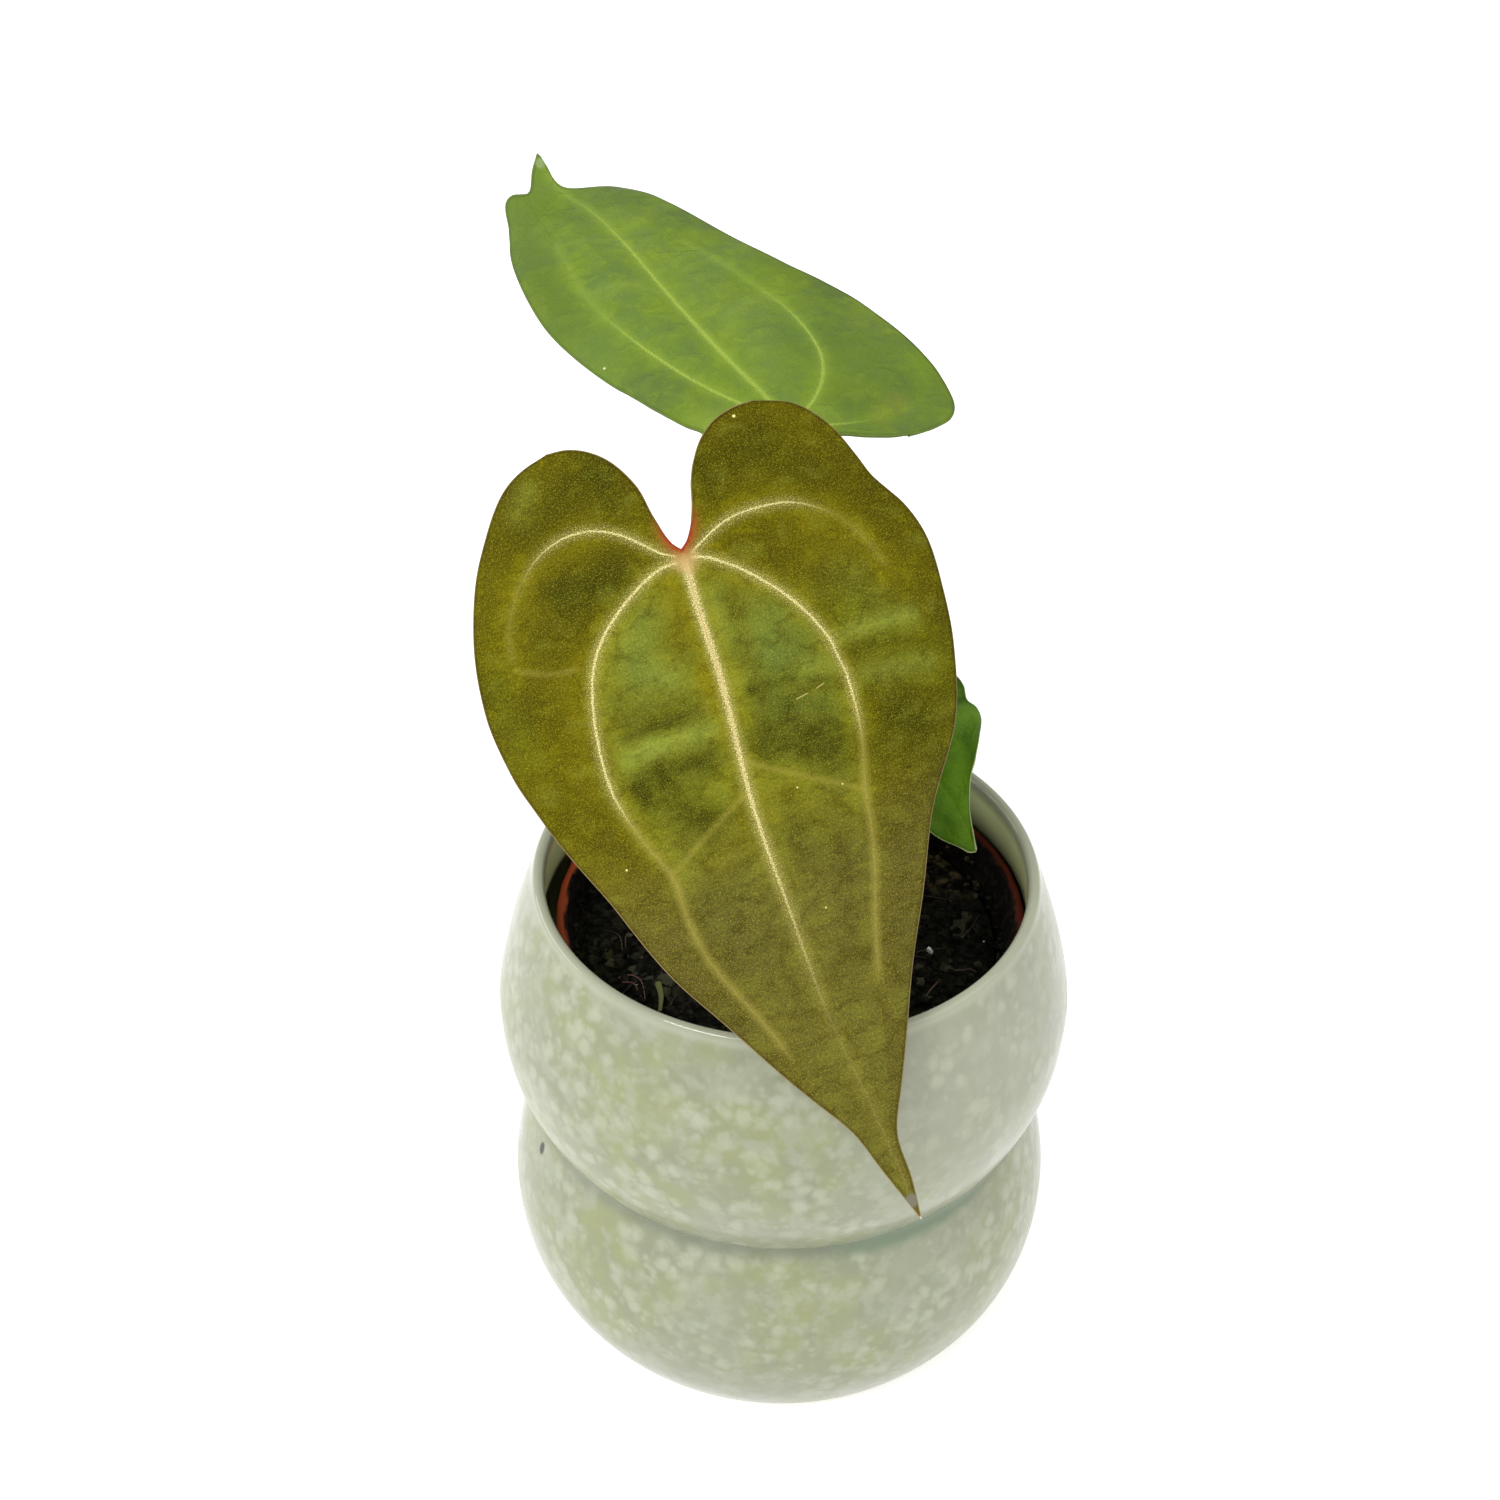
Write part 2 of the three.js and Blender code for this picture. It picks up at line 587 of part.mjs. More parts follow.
addPiece('cover_pot', coverPot(), paint(0xb9c0a0, 0.3));
addPiece('nursery_pot', nurseryPot(), paint(0x8a3a22, 0.55));
addPiece('potting_mix', pottingMix(), paint(0x1c1611, 0.95));
addPiece('crown', crown(), paint(0x5c6432, 0.7));
addPiece('sheath_left', sheath(SHEATHS.left), paint(0x8a6a42, 0.85));
addPiece('sheath_right', sheath(SHEATHS.right), paint(0x8a6a42, 0.85));
addPiece('stem_front', stem('front'), paint(0x7c6b35, 0.55));
addPiece('stem_back', stem('back'), paint(0x6c8a3a, 0.55));
addPiece('stem_side', stem('side'), paint(0x7d9c3f, 0.55));
addPiece('leaf_front', blade(FRONT, 36, 7), paint(0x6b6420, 0.5));
addPiece('leaf_back', blade(BACK, 34, 6), paint(0x6f9036, 0.45));
addPiece('leaf_side', blade(SIDE, 20, 5), paint(0x4f8a22, 0.45));

export default part;
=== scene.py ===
# %% [markdown]
# # A potted anthurium in a two-tier celadon pot
# The plant stands in a plastic nursery pot, which stands in a glazed cover pot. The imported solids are
# loaded first and stay where they are: every piece made here takes the place of one of them.
# All lengths in this file are written in millimetres, as a maker would, and turned into metres by MM.

# %% Load the fixed frame and note its size
import math

import bmesh
import bpy
import numpy as np
from mathutils import Matrix, Vector, noise


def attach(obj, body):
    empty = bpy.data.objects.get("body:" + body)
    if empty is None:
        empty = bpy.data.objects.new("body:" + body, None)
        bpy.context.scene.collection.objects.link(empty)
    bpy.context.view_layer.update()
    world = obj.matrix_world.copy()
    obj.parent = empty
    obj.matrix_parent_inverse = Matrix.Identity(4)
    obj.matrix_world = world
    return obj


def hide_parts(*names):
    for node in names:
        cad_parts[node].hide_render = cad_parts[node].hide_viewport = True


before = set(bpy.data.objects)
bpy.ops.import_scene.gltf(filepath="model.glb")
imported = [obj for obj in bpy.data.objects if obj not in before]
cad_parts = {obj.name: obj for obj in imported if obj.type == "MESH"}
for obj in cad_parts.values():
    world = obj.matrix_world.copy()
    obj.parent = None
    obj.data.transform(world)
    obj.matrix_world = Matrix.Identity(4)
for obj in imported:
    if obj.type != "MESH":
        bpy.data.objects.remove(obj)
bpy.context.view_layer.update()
MM = 0.001

# %% [markdown]
# ## Camera
# The photograph looks down at the pot from a little above arm's length. The place, tilt, roll and lens
# were worked out from the ellipses of the two rims. A rotation about the camera's own Z axis gives the
# slight roll of a hand-held picture.

# %% Camera at the photograph's viewing angle
CAMERA_PLACE = (-9.5368, -425.5216, 494.0297)
DEGREES_DOWN = 37.134
DEGREES_ROLLED = 0.736
FOCAL_LENGTH = 52.757
lens = bpy.data.cameras.new("photo_camera")
lens.sensor_fit = "HORIZONTAL"
lens.sensor_width = 36
lens.lens = FOCAL_LENGTH
lens.clip_start = 0.01
camera = bpy.data.objects.new("photo_camera", lens)
bpy.context.scene.collection.objects.link(camera)
camera.matrix_world = (Matrix.Translation(Vector(CAMERA_PLACE) * MM)
                       @ Matrix.Rotation(math.radians(90 - DEGREES_DOWN), 4, "X")
                       @ Matrix.Rotation(math.radians(DEGREES_ROLLED), 4, "Z"))
bpy.context.scene.camera = camera
print("camera at", [round(v, 4) for v in camera.location])

# %% [markdown]
# ## Floor and light
# The picture is a studio shot on white. A large pale floor under a white sky fills every shadow, so the
# glaze keeps its true colour. One softbox above the front left gives the pot its form and draws
# the bright line along the lip, and a narrow strip light beside it draws the second, thinner line. A low
# softbox from the left shines in under the front leaf, onto the far inner wall of the pot.
# The Standard view transform keeps whites white, as in the picture.

# %% Floor, white sky and soft lights
scene = bpy.context.scene
scene.view_settings.view_transform = "Standard"

floor_mesh = bmesh.new()
bmesh.ops.create_grid(floor_mesh, x_segments=1, y_segments=1, size=6)
floor_data = bpy.data.meshes.new("studio_floor")
floor_mesh.to_mesh(floor_data)
floor_mesh.free()
floor = bpy.data.objects.new("studio_floor", floor_data)
scene.collection.objects.link(floor)
floor.data.transform(Matrix.Translation((0, 0, -0.0002)))
paper = bpy.data.materials.new("white_paper")
paper.use_nodes = True
paper_look = {"Base Color": (0.8, 0.8, 0.8, 1), "Roughness": 0.9, "Specular IOR Level": 0.1,
              "Emission Color": (1, 1, 1, 1), "Emission Strength": 0.5}
for socket, value in paper_look.items():
    paper.node_tree.nodes["Principled BSDF"].inputs[socket].default_value = value
floor_data.materials.append(paper)

sky = bpy.data.worlds.new("white_sky")
sky.use_nodes = True
sky.node_tree.nodes["Background"].inputs["Color"].default_value = (1, 1, 1, 1)
sky.node_tree.nodes["Background"].inputs["Strength"].default_value = 0.72
scene.world = sky


def softbox(name, place, aim, width, height, power):
    """A rectangular light at place, turned to shine at aim."""
    data = bpy.data.lights.new(name, "AREA")
    data.shape = "RECTANGLE"
    data.size = width
    data.size_y = height
    data.energy = power
    light = bpy.data.objects.new(name, data)
    scene.collection.objects.link(light)
    turn = (Vector(aim) - Vector(place)).to_track_quat("-Z", "Y")
    light.matrix_world = Matrix.Translation(place) @ turn.to_matrix().to_4x4()


POT_MIDDLE = (0, 0, 0.12)
softbox("key_softbox", (-0.55, -0.62, 1.05), POT_MIDDLE, 0.42, 0.3, 7.0)
softbox("strip_light", (-0.2, -0.75, 1.1), POT_MIDDLE, 0.6, 0.05, 2.8)
softbox("low_softbox", (-1.0, 0.3, 0.36), (0, 0, 0.13), 0.7, 0.25, 2.2)
softbox("fill_softbox", (1.1, -0.3, 0.9), POT_MIDDLE, 0.9, 0.9, 4.2)

# %% [markdown]
# ## Small helpers
# A smooth line through a few points is the maker's spline: a bent lath held at its pegs. The centripetal
# kind never loops between close pegs. The second helper makes a mesh object from a bmesh and
# hands it to the frame: it rides on the body "root" and stands for a CAD node.

# %% Smooth lines and a way to hand a piece over


def smooth_line(points, count):
    """count + 1 evenly spaced points on a centripetal Catmull-Rom line through the given points."""
    p = np.array(points, float)
    p = np.vstack([2 * p[0] - p[1], p, 2 * p[-1] - p[-2]])
    fine = [p[1]]
    for a, b, c, d in zip(p[:-3], p[1:-2], p[2:-1], p[3:]):
        k0, k1, k2 = (max(np.linalg.norm(q - r), 1e-6) ** 0.5 for q, r in ((b, a), (c, b), (d, c)))
        m1 = ((b - a) / k0 - (c - a) / (k0 + k1) + (c - b) / k1) * k1
        m2 = ((c - b) / k1 - (d - b) / (k1 + k2) + (d - c) / k2) * k1
        for t in np.linspace(0, 1, 25)[1:]:
            fine.append(b + m1 * t + (3 * (c - b) - 2 * m1 - m2) * t**2 + (2 * (b - c) + m1 + m2) * t**3)
    fine = np.array(fine)
    along = np.concatenate([[0], np.cumsum(np.linalg.norm(np.diff(fine, axis=0), axis=1))])
    at = np.linspace(0, along[-1], count + 1)
    return np.column_stack([np.interp(at, along, fine[:, i]) for i in range(fine.shape[1])])


def finish_piece(name, bm, node, materials, smooth_angle=40):
    """Turns a bmesh into an object that rides on the body and stands for the CAD node."""
    data = bpy.data.meshes.new(name)
    bm.to_mesh(data)
    bm.free()
    piece = bpy.data.objects.new(name, data)
    scene.collection.objects.link(piece)
    for material in materials:
        data.materials.append(material)
    data.shade_smooth()
    if smooth_angle < 180:
        data.set_sharp_from_angle(angle=math.radians(smooth_angle))
    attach(piece, "root")
    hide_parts(node)
    print(f"{name}: {len(data.vertices)} points, {len(data.polygons)} faces")
    return piece


# %% [markdown]
# ## A small kit for finishes
# Each finish is a Principled shader fed by a handful of procedural nodes. The class below only shortens
# the wiring: every method adds one node and gives back its output, so a finish reads like a recipe.
# `paint` lays one more tone over the colour so far, as a painter would. Tones are written as the eye
# sees them (0 to 255) and converted to the linear values that the shader wants.

# %% Colour conversion and the finish recipe class


def eye(r, g, b, dim=1.0):
    """A colour given (0-255) as a linear colour for a shader, darkened by dim."""
    lin = [v / 255 / 12.92 if v <= 10.3 else ((v / 255 + 0.055) / 1.055) ** 2.4 for v in (r, g, b)]
    return (lin[0] * dim, lin[1] * dim, lin[2] * dim, 1.0)


class Finish:
    """A material under construction: each method adds a node and returns its output socket."""

    def __init__(self, name, roughness, specular, dim=1.0, tones=None):
        self.material = bpy.data.materials.new(name)
        self.material.use_nodes = True
        self.tree = self.material.node_tree
        self.shader = self.tree.nodes["Principled BSDF"]
        self.shader.inputs["Roughness"].default_value = roughness
        self.shader.inputs["Specular IOR Level"].default_value = specular
        self.dim, self.tones, self.colour = dim, tones, None

    def plug(self, socket, value):
        if isinstance(value, bpy.types.NodeSocket):
            self.tree.links.new(value, socket)
        else:
            socket.default_value = value

    def node(self, kind, inputs=(), **settings):
        made = self.tree.nodes.new(kind)
        for key, value in settings.items():
            setattr(made, key, value)
        for key, value in dict(inputs).items():
            self.plug(made.inputs[key], value)
        return made

    def coords(self):
        return self.node("ShaderNodeTexCoord").outputs["Object"]

    def uv(self):
        return self.node("ShaderNodeUVMap", uv_map="flat").outputs[0]

    def split(self, vector):
        return self.node("ShaderNodeSeparateXYZ", {0: vector}).outputs

    def join(self, x, y, z=0.0):
        return self.node("ShaderNodeCombineXYZ", {0: x, 1: y, 2: z}).outputs[0]

    def math(self, operation, *given):
        return self.node("ShaderNodeMath", enumerate(given), operation=operation).outputs[0]

    def plus(self, a, b):
        return self.math("ADD", a, b)

    def minus(self, a, b):
        return self.math("SUBTRACT", a, b)

    def times(self, a, b):
        return self.math("MULTIPLY", a, b)

    def vector(self, operation, a, b):
        made = self.node("ShaderNodeVectorMath", {0: a, 1: b}, operation=operation)
        return made.outputs["Value" if operation in ("DISTANCE", "DOT_PRODUCT") else "Vector"]

    def scaled(self, a, b):
        return self.vector("MULTIPLY", a, b)

    def distance(self, a, b):
        return self.vector("DISTANCE", a, b)

    def fade(self, value, start, end, low=0.0, high=1.0):
        """Rises smoothly from low at start to high at end."""
        given = {0: value, 1: start, 2: end, 3: low, 4: high}
        return self.node("ShaderNodeMapRange", given, interpolation_type="SMOOTHSTEP").outputs[0]

    def near(self, at, place, outer, inner, low=0.0, high=1.0):
        """Rises from low at the outer distance from a place to high at the inner one, all in mm."""
        return self.fade(self.distance(at, Vector(place) * MM), outer * MM, inner * MM, low, high)

    def shade_of(self, tone):
        """A tone given by name or as three numbers, as a shader colour. A socket is left as it is."""
        tone = self.tones[tone] if isinstance(tone, str) else tone
        return eye(*tone, self.dim) if isinstance(tone, tuple) and len(tone) == 3 else tone

    def mix(self, share, a, b):
        made = self.node("ShaderNodeMix", data_type="RGBA", blend_type="MIX")
        self.plug(made.inputs[0], share)
        self.plug(made.inputs[6], self.shade_of(a))
        self.plug(made.inputs[7], self.shade_of(b))
        return made.outputs[2]

    def paint(self, share, tone):
        """Lays a tone over the colour so far."""
        self.colour = self.mix(share, self.colour, tone)

    def noise(self, at, scale, detail=3.0, roughness=0.55, output=0):
        given = {"Vector": at, "Scale": scale, "Detail": detail, "Roughness": roughness}
        return self.node("ShaderNodeTexNoise", given).outputs[output]

    def cells(self, at, scale, feature="F1"):
        given = {"Vector": at, "Scale": scale, "Randomness": 1.0}
        return self.node("ShaderNodeTexVoronoi", given, feature=feature).outputs["Distance"]

    def attribute(self, name):
        return self.node("ShaderNodeAttribute", attribute_name=name).outputs["Fac"]

    def bump(self, height, distance, strength):
        given = {"Height": height, "Distance": distance, "Strength": strength}
        return self.node("ShaderNodeBump", given).outputs[0]

    def done(self, normal, roughness=None):
        """Plugs the colour, the relief and, if it varies, the roughness into the shader."""
        self.plug(self.shader.inputs["Base Color"], self.colour)
        if roughness is not None:
            self.plug(self.shader.inputs["Roughness"], roughness)
        self.plug(self.shader.inputs["Normal"], normal)
        return self.material


# %% [markdown]
# ## The celadon glaze
# The real glaze is a milky sage green that breaks into paler round flecks two to four millimetres wide,
# with yellower clouds between them. It runs off the bulges and pools, darker and greener, in the
# crease between the tiers, and the crease is darkened further as painted shade. Voronoi cells make the
# round flecks, slow noise makes the clouds and thins the flecks out, and the height above the table
# finds the crease. The lower wall darkens towards the foot as painted shade, and the inside of the pot
# is painted paler as painted light, then darker below the lip as painted shade. The foot ring is left
# unglazed, so the pot doesn't stick to the kiln shelf. One pinhole shows the darker clay.

# %% Celadon glaze: colour
WAIST_Z = 65.5
LIP_Z = 136
glaze = Finish("celadon_glaze", roughness=0.2, specular=0.38, dim=0.6)
at = glaze.coords()
height = glaze.split(at)[2]
inside = glaze.attribute("inside")
at_wandering = glaze.vector("ADD", at, glaze.scaled(glaze.noise(at, 140, 2, output=1), (0.0026,) * 3))
clouds = glaze.noise(at, 30, 2.5, 0.5)
clouds = glaze.plus(clouds, glaze.near(at, (-22, -66, 100), 46, 12, 0, 0.12))
glaze.colour = glaze.mix(glaze.fade(clouds, 0.4, 0.64), (174, 179, 151), (172, 178, 126))
glaze.paint(glaze.fade(glaze.noise(at, 110, 3), 0.3, 0.75), (164, 170, 138))
glaze.paint(glaze.near(at, (46, -52, 104), 48, 14, 0, 0.5), (194, 198, 178))

# %% Celadon glaze: pale flecks of two sizes, thinned out in slow patches
plain_lip = glaze.fade(height, (LIP_Z - 1.5) * MM, (LIP_Z - 4) * MM)
density = glaze.times(glaze.fade(glaze.noise(at, 55, 1.5), 0.36, 0.62, 0.08, 0.66), plain_lip)
fray = glaze.times(glaze.minus(glaze.noise(at, 420, 2), 0.5), 0.5)
big = glaze.plus(glaze.cells(at_wandering, 185), fray)
big = glaze.times(glaze.fade(big, 0.62, 0.16), density)
small = glaze.fade(glaze.plus(glaze.cells(at_wandering, 330), fray), 0.5, 0.1)
small = glaze.times(small, glaze.fade(glaze.noise(at, 80, 2), 0.4, 0.6, 0.0, 0.42))
small = glaze.times(small, plain_lip)
glaze.paint(glaze.fade(glaze.noise(at, 150, 3, 0.6), 0.46, 0.66, 0, 0.6), (190, 195, 170))
glaze.paint(big, (206, 211, 184))
glaze.paint(small, (204, 209, 182))

# %% Celadon glaze: lip, foot, crease, pinhole and inside
glaze.paint(glaze.fade(height, (LIP_Z - 3.5) * MM, (LIP_Z - 1) * MM, 0, 0.8), (200, 204, 178))
# Painted shade: the lower wall darkens towards the foot.
glaze.paint(glaze.fade(height, 34 * MM, 2 * MM, 0, 0.5), (148, 153, 128))
# Painted shade in the crease, over the glaze that pools there: two darker bands centred on the crease.
crease = glaze.math("ABSOLUTE", glaze.minus(height, WAIST_Z * MM))
glaze.paint(glaze.fade(crease, 5 * MM, 0.4 * MM, 0.0, 0.55), (138, 146, 120))
glaze.paint(glaze.fade(crease, 3.4 * MM, 0.0, 0.0, 0.32), (104, 112, 90))
green_run = glaze.near(at, (33, -57, 66), 30, 8)
green_run = glaze.times(green_run, glaze.fade(crease, 5.5 * MM, 1 * MM, 0, 0.8))
glaze.paint(green_run, (130, 154, 122))
pinhole_at = glaze.scaled(glaze.vector("SUBTRACT", at, Vector((-63.3, -25.3, 57.8)) * MM), (1, 1, 0.7))
glaze.paint(glaze.near(pinhole_at, (0, 0, 0), 1.7, 0.9), eye(40, 42, 26))
# Painted light: the inside wall is painted paler. Below the lip it is darkened again as painted shade, more
# on the right.
glaze.paint(inside, eye(208, 216, 160, 0.98))
painted_inner_shade = glaze.times(inside, glaze.fade(height, (LIP_Z - 3) * MM, (LIP_Z - 17) * MM, 0, 0.9))
painted_inner_shade = glaze.times(painted_inner_shade, glaze.fade(glaze.split(at)[0], -30 * MM, 20 * MM, 0.2, 1.0))
glaze.paint(painted_inner_shade, eye(60, 58, 42))
bare_foot = glaze.fade(height, 1.6 * MM, 0.9 * MM)
glaze.paint(bare_foot, eye(196, 184, 160))

# %% Celadon glaze: relief and gloss
relief = glaze.plus(glaze.noise(at, 45, 2), glaze.times(big, 0.12))
glaze_skin = glaze.bump(relief, 0.0006, 0.5)
rough = glaze.plus(glaze.fade(clouds, 0.3, 0.7, 0.16, 0.26), glaze.times(bare_foot, 0.6))
rough = glaze.minus(rough, glaze.fade(height, (LIP_Z - 5) * MM, (LIP_Z - 2) * MM, 0, 0.12))
celadon = glaze.done(glaze_skin, rough)
print("celadon glaze:", len(glaze.tree.nodes), "nodes")

# %% [markdown]
# ## The cover pot
# A slip-cast pot is a turned form, so half of its outline is drawn once and spun round the Z axis. The
# wall is drawn in stretches: each is flat against the bulge at one end and falls away at the other, which
# gives two soft tiers and a tight crease. The lip is a small round, and the outline runs back
# down inside as the inner wall. A full spin with use_merge closes the seam by itself.

# %% Cover pot outline and spin


def stretch(from_r, from_z, to_r, to_z, power, steps, bulge_first):
    """One stretch of wall as [radius, z] points, without its first point."""
    line = []
    for i in range(1, steps + 1):
        t = i / steps
        share = t**power if bulge_first else 1 - (1 - t) ** power
        line.append([from_r + (to_r - from_r) * share, from_z + (to_z - from_z) * t])
    return line


def spin_outline(outline, steps):
    """Spins a half outline of [radius, z] points round the Z axis into a closed skin."""
    bm = bmesh.new()
    pegs = [bm.verts.new((r * MM, 0, z * MM)) for r, z in outline]
    edges = [bm.edges.new(pair) for pair in zip(pegs[:-1], pegs[1:])]
    bmesh.ops.spin(bm, geom=pegs + edges, axis=(0, 0, 1), cent=(0, 0, 0), steps=steps,
                   angle=2 * math.pi, use_merge=True)
    bmesh.ops.remove_doubles(bm, verts=bm.verts[:], dist=1e-6)
    bmesh.ops.recalc_face_normals(bm, faces=bm.faces[:])
    return bm


FOOT, BELLY, WAIST, SHOULDER = (64.8, 3.4), (73.1, 33), (65.2, WAIST_Z), (74.3, 98.5)
WALL_STEPS = 14
outer_wall = [[58.5, 0], [60.6, 0.35], [62.4, 1.1], [63.8, 2.1], list(FOOT)]
outer_wall += stretch(*FOOT, *BELLY, 2.3, WALL_STEPS, False)
outer_wall += stretch(*BELLY, *WAIST, 1.73, WALL_STEPS, True)
outer_wall += stretch(*WAIST, *SHOULDER, 2.55, WALL_STEPS + 2, False)
outer_wall += stretch(*SHOULDER, 64.2, LIP_Z - 1.6, 1.35, WALL_STEPS, True)
lip = [[64.05, 134.9], [63.6, 135.6], [63.1, 135.9], [62.6, LIP_Z], [62.1, 135.9], [61.6, 135.6], [61.2, 135],
       [61, 134.2]]
inner_wall = [[61, 131], [61.1, 127], [61.4, 123.5], [62.2, 119.5]]
inner_wall += stretch(62.2, 119.5, 69.5, 98.5, 1.35, 8, False)
inner_wall += stretch(69.5, 98.5, 60.4, WAIST_Z, 2.3, 8, True)
inner_wall += stretch(60.4, WAIST_Z, 68.3, 33, 2, 8, False)
inner_wall += stretch(68.3, 33, 56, 10, 2.3, 8, True) + [[54.4, 8.5], [52, 8], [0, 8]]
foot = [[0, 0.9], [52, 0.9], [54, 0.2], [55, 0]]
cover_mesh = spin_outline(foot + outer_wall + lip + inner_wall, 180)

# %% Mark the inside of the pot for the glaze, and hand the pot over
inside_layer = cover_mesh.verts.layers.float.new("inside")
wall_z = [z for _, z in outer_wall]
wall_r = [r for r, _ in outer_wall]
for vert in cover_mesh.verts:
    x, y, z = vert.co / MM
    within = np.interp(z, wall_z, wall_r) - math.hypot(x, y)
    vert[inside_layer] = min(1, max(0, (within - 2.4) / 1.2)) if 4 < z < 134 else 0
finish_piece("glazed_cover_pot", cover_mesh, "cover_pot", [celadon], 60)

# %% [markdown]
# ## The nursery pot
# The plastic pot is thin, red-brown and a little dusty. Its CAD solid already has the rolled rim and the
# drain holes, so a copy of it is merged and smoothed instead of being drawn again. Fine rings
# from the mould run round the wall, and dust sits in slow clouds. The inner face below the rim is a dark
# band, partly damp mix and partly painted shade, and the right side is darkened as painted shade.
# The pot leans a little to the right in its cover, so its upper part is eased over.

# %% Terracotta-coloured plastic and the smoothed nursery pot
LINER_LEAN = 1.4
RIM_OUTER, RIM_INNER = 58.5, 57.9
plastic = Finish("terracotta_plastic", roughness=0.42, specular=0.08)
at = plastic.coords()
x, y, height = plastic.split(at)
radius = plastic.distance(plastic.join(x, y), (LINER_LEAN * MM, 0, 0))
dust = plastic.fade(plastic.noise(at, 70, 4, 0.65), 0.45, 0.75)
plastic.colour = plastic.mix(plastic.noise(at, 25, 2), (170, 74, 40), (134, 54, 30))
# Painted shade: the right side of the pot is darker.
plastic.paint(plastic.fade(x, -10 * MM, 30 * MM, 0, 0.85), (58, 17, 12))
plastic.paint(plastic.times(dust, 0.15), (140, 96, 70))
# Damp mix and painted shade: the inner face below the rim is made nearly black.
damp_and_shade_band = plastic.plus(height, plastic.times(plastic.noise(at, 120, 3), 0.003))
damp_and_shade_band = plastic.times(plastic.fade(damp_and_shade_band, 123.8 * MM, 122.6 * MM),
                       plastic.fade(radius, RIM_OUTER * MM, RIM_INNER * MM))
damp_and_shade_tone = plastic.mix(plastic.fade(plastic.noise(at, 330, 3), 0.46, 0.62), (5, 4, 3), (24, 17, 12))
plastic.paint(damp_and_shade_band, damp_and_shade_tone)
rings = plastic.math("SINE", plastic.times(height, 5200.0))
grain = plastic.plus(plastic.times(rings, 0.2), plastic.noise(at, 900, 2))
rough = plastic.math("MAXIMUM", plastic.fade(dust, 0, 1, 0.4, 0.66), plastic.times(damp_and_shade_band, 0.9))
terracotta = plastic.done(plastic.bump(grain, 0.00012, 0.6), rough)

# %% The nursery pot, merged and leaned
LEAN_FROM, LEAN_REACH = 104, 17.5
liner_mesh = bmesh.new()
liner_mesh.from_mesh(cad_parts["nursery_pot"].data)
bmesh.ops.remove_doubles(liner_mesh, verts=liner_mesh.verts[:], dist=2e-6)
for vert in liner_mesh.verts:
    share = min(1, max(0, (vert.co.z / MM - LEAN_FROM) / LEAN_REACH))
    vert.co.x += LINER_LEAN * share**2 * (3 - 2 * share) * MM
finish_piece("plastic_nursery_pot", liner_mesh, "nursery_pot", [terracotta], 50)

# %% [markdown]
# ## The potting mix
# A dark, open mix: peat crumbs, flat bark chips, a few white perlite grains, old fibres and a bit of
# moss. The body is a turned plug with a bumpy top, and the crumbs are tiny icospheres squashed and
# turned at random, a few dozen faces each at most. Every crumb carries its own tint in a point
# attribute, so one finish colours them all.

# %% Mix finish
mix = Finish("dark_potting_mix", roughness=0.6, specular=0.08)
at = mix.coords()
tint = mix.attribute("tint")
mix.colour = mix.mix(mix.fade(mix.noise(at, 420, 4, 0.65), 0.42, 0.7), (5, 5, 3), (34, 33, 24))
mix.paint(mix.fade(mix.noise(at, 160, 3), 0.5, 0.8), (22, 24, 13))
mix.paint(mix.fade(tint, 0.12, 0.8), (60, 60, 46))
mix.paint(mix.fade(tint, 0.93, 0.99), (226, 230, 232))
for place, reach, tone in (((-48, -9, 113), 9, (50, 54, 22)), ((44, 26, 113), 15, (92, 80, 56))):
    mossy = mix.near(at, place, reach, 2, 0, 0.7)
    mossy = mix.times(mossy, mix.fade(mix.noise(at, 330, 2), 0.45, 0.6))
    mix.paint(mossy, tone)
crumble = mix.bump(mix.noise(at, 600, 5, 0.7), 0.0011, 0.9)
wet = mix.times(mix.fade(mix.noise(at, 260, 2), 0.5, 0.66), mix.fade(tint, 0.05, 0.3))
dark_mix = mix.done(crumble, mix.fade(wet, 0, 1, 0.95, 0.25))

# %% Plug of mix with its bumpy top
rng = np.random.default_rng(7)
MIX_TOP = 111.5


def mix_height(x, y):
    """Height of the mix at a place, in mm: lumps of two sizes."""
    lumps = noise.noise(Vector((x / 9, y / 9, 3.1))) + 0.5 * noise.noise(Vector((x / 3.1, y / 3.1, 8.7)))
    return MIX_TOP + 1.3 * lumps


plug_outline = [[0, 10.6], [39.6, 10.6], [40.8, 12]] + stretch(40.8, 12, 54.3, 110.9, 1, 12, True)
plug_outline += [[r, 111.3] for r in np.linspace(53.6, 0, 44)]
plug = spin_outline(plug_outline, 160)
plug.verts.layers.float.new("tint")
EDGE_Z = MIX_TOP - 0.4
for vert in plug.verts:
    x, y, z = vert.co / MM
    away_from_wall = min(1.0, max(0.0, (54.0 - math.hypot(x, y)) / 3))
    if z > MIX_TOP - 0.5:
        vert.co.z = (EDGE_Z + (mix_height(x, y) - EDGE_Z) * away_from_wall) * MM

# %% [markdown]
# The crumbs are made in small batches, each a mesh of its own that is then added to the plug. A second
# line of random numbers places those that cling to the plastic wall, so the top keeps its own.

# %% Crumbs, bark chips and grains


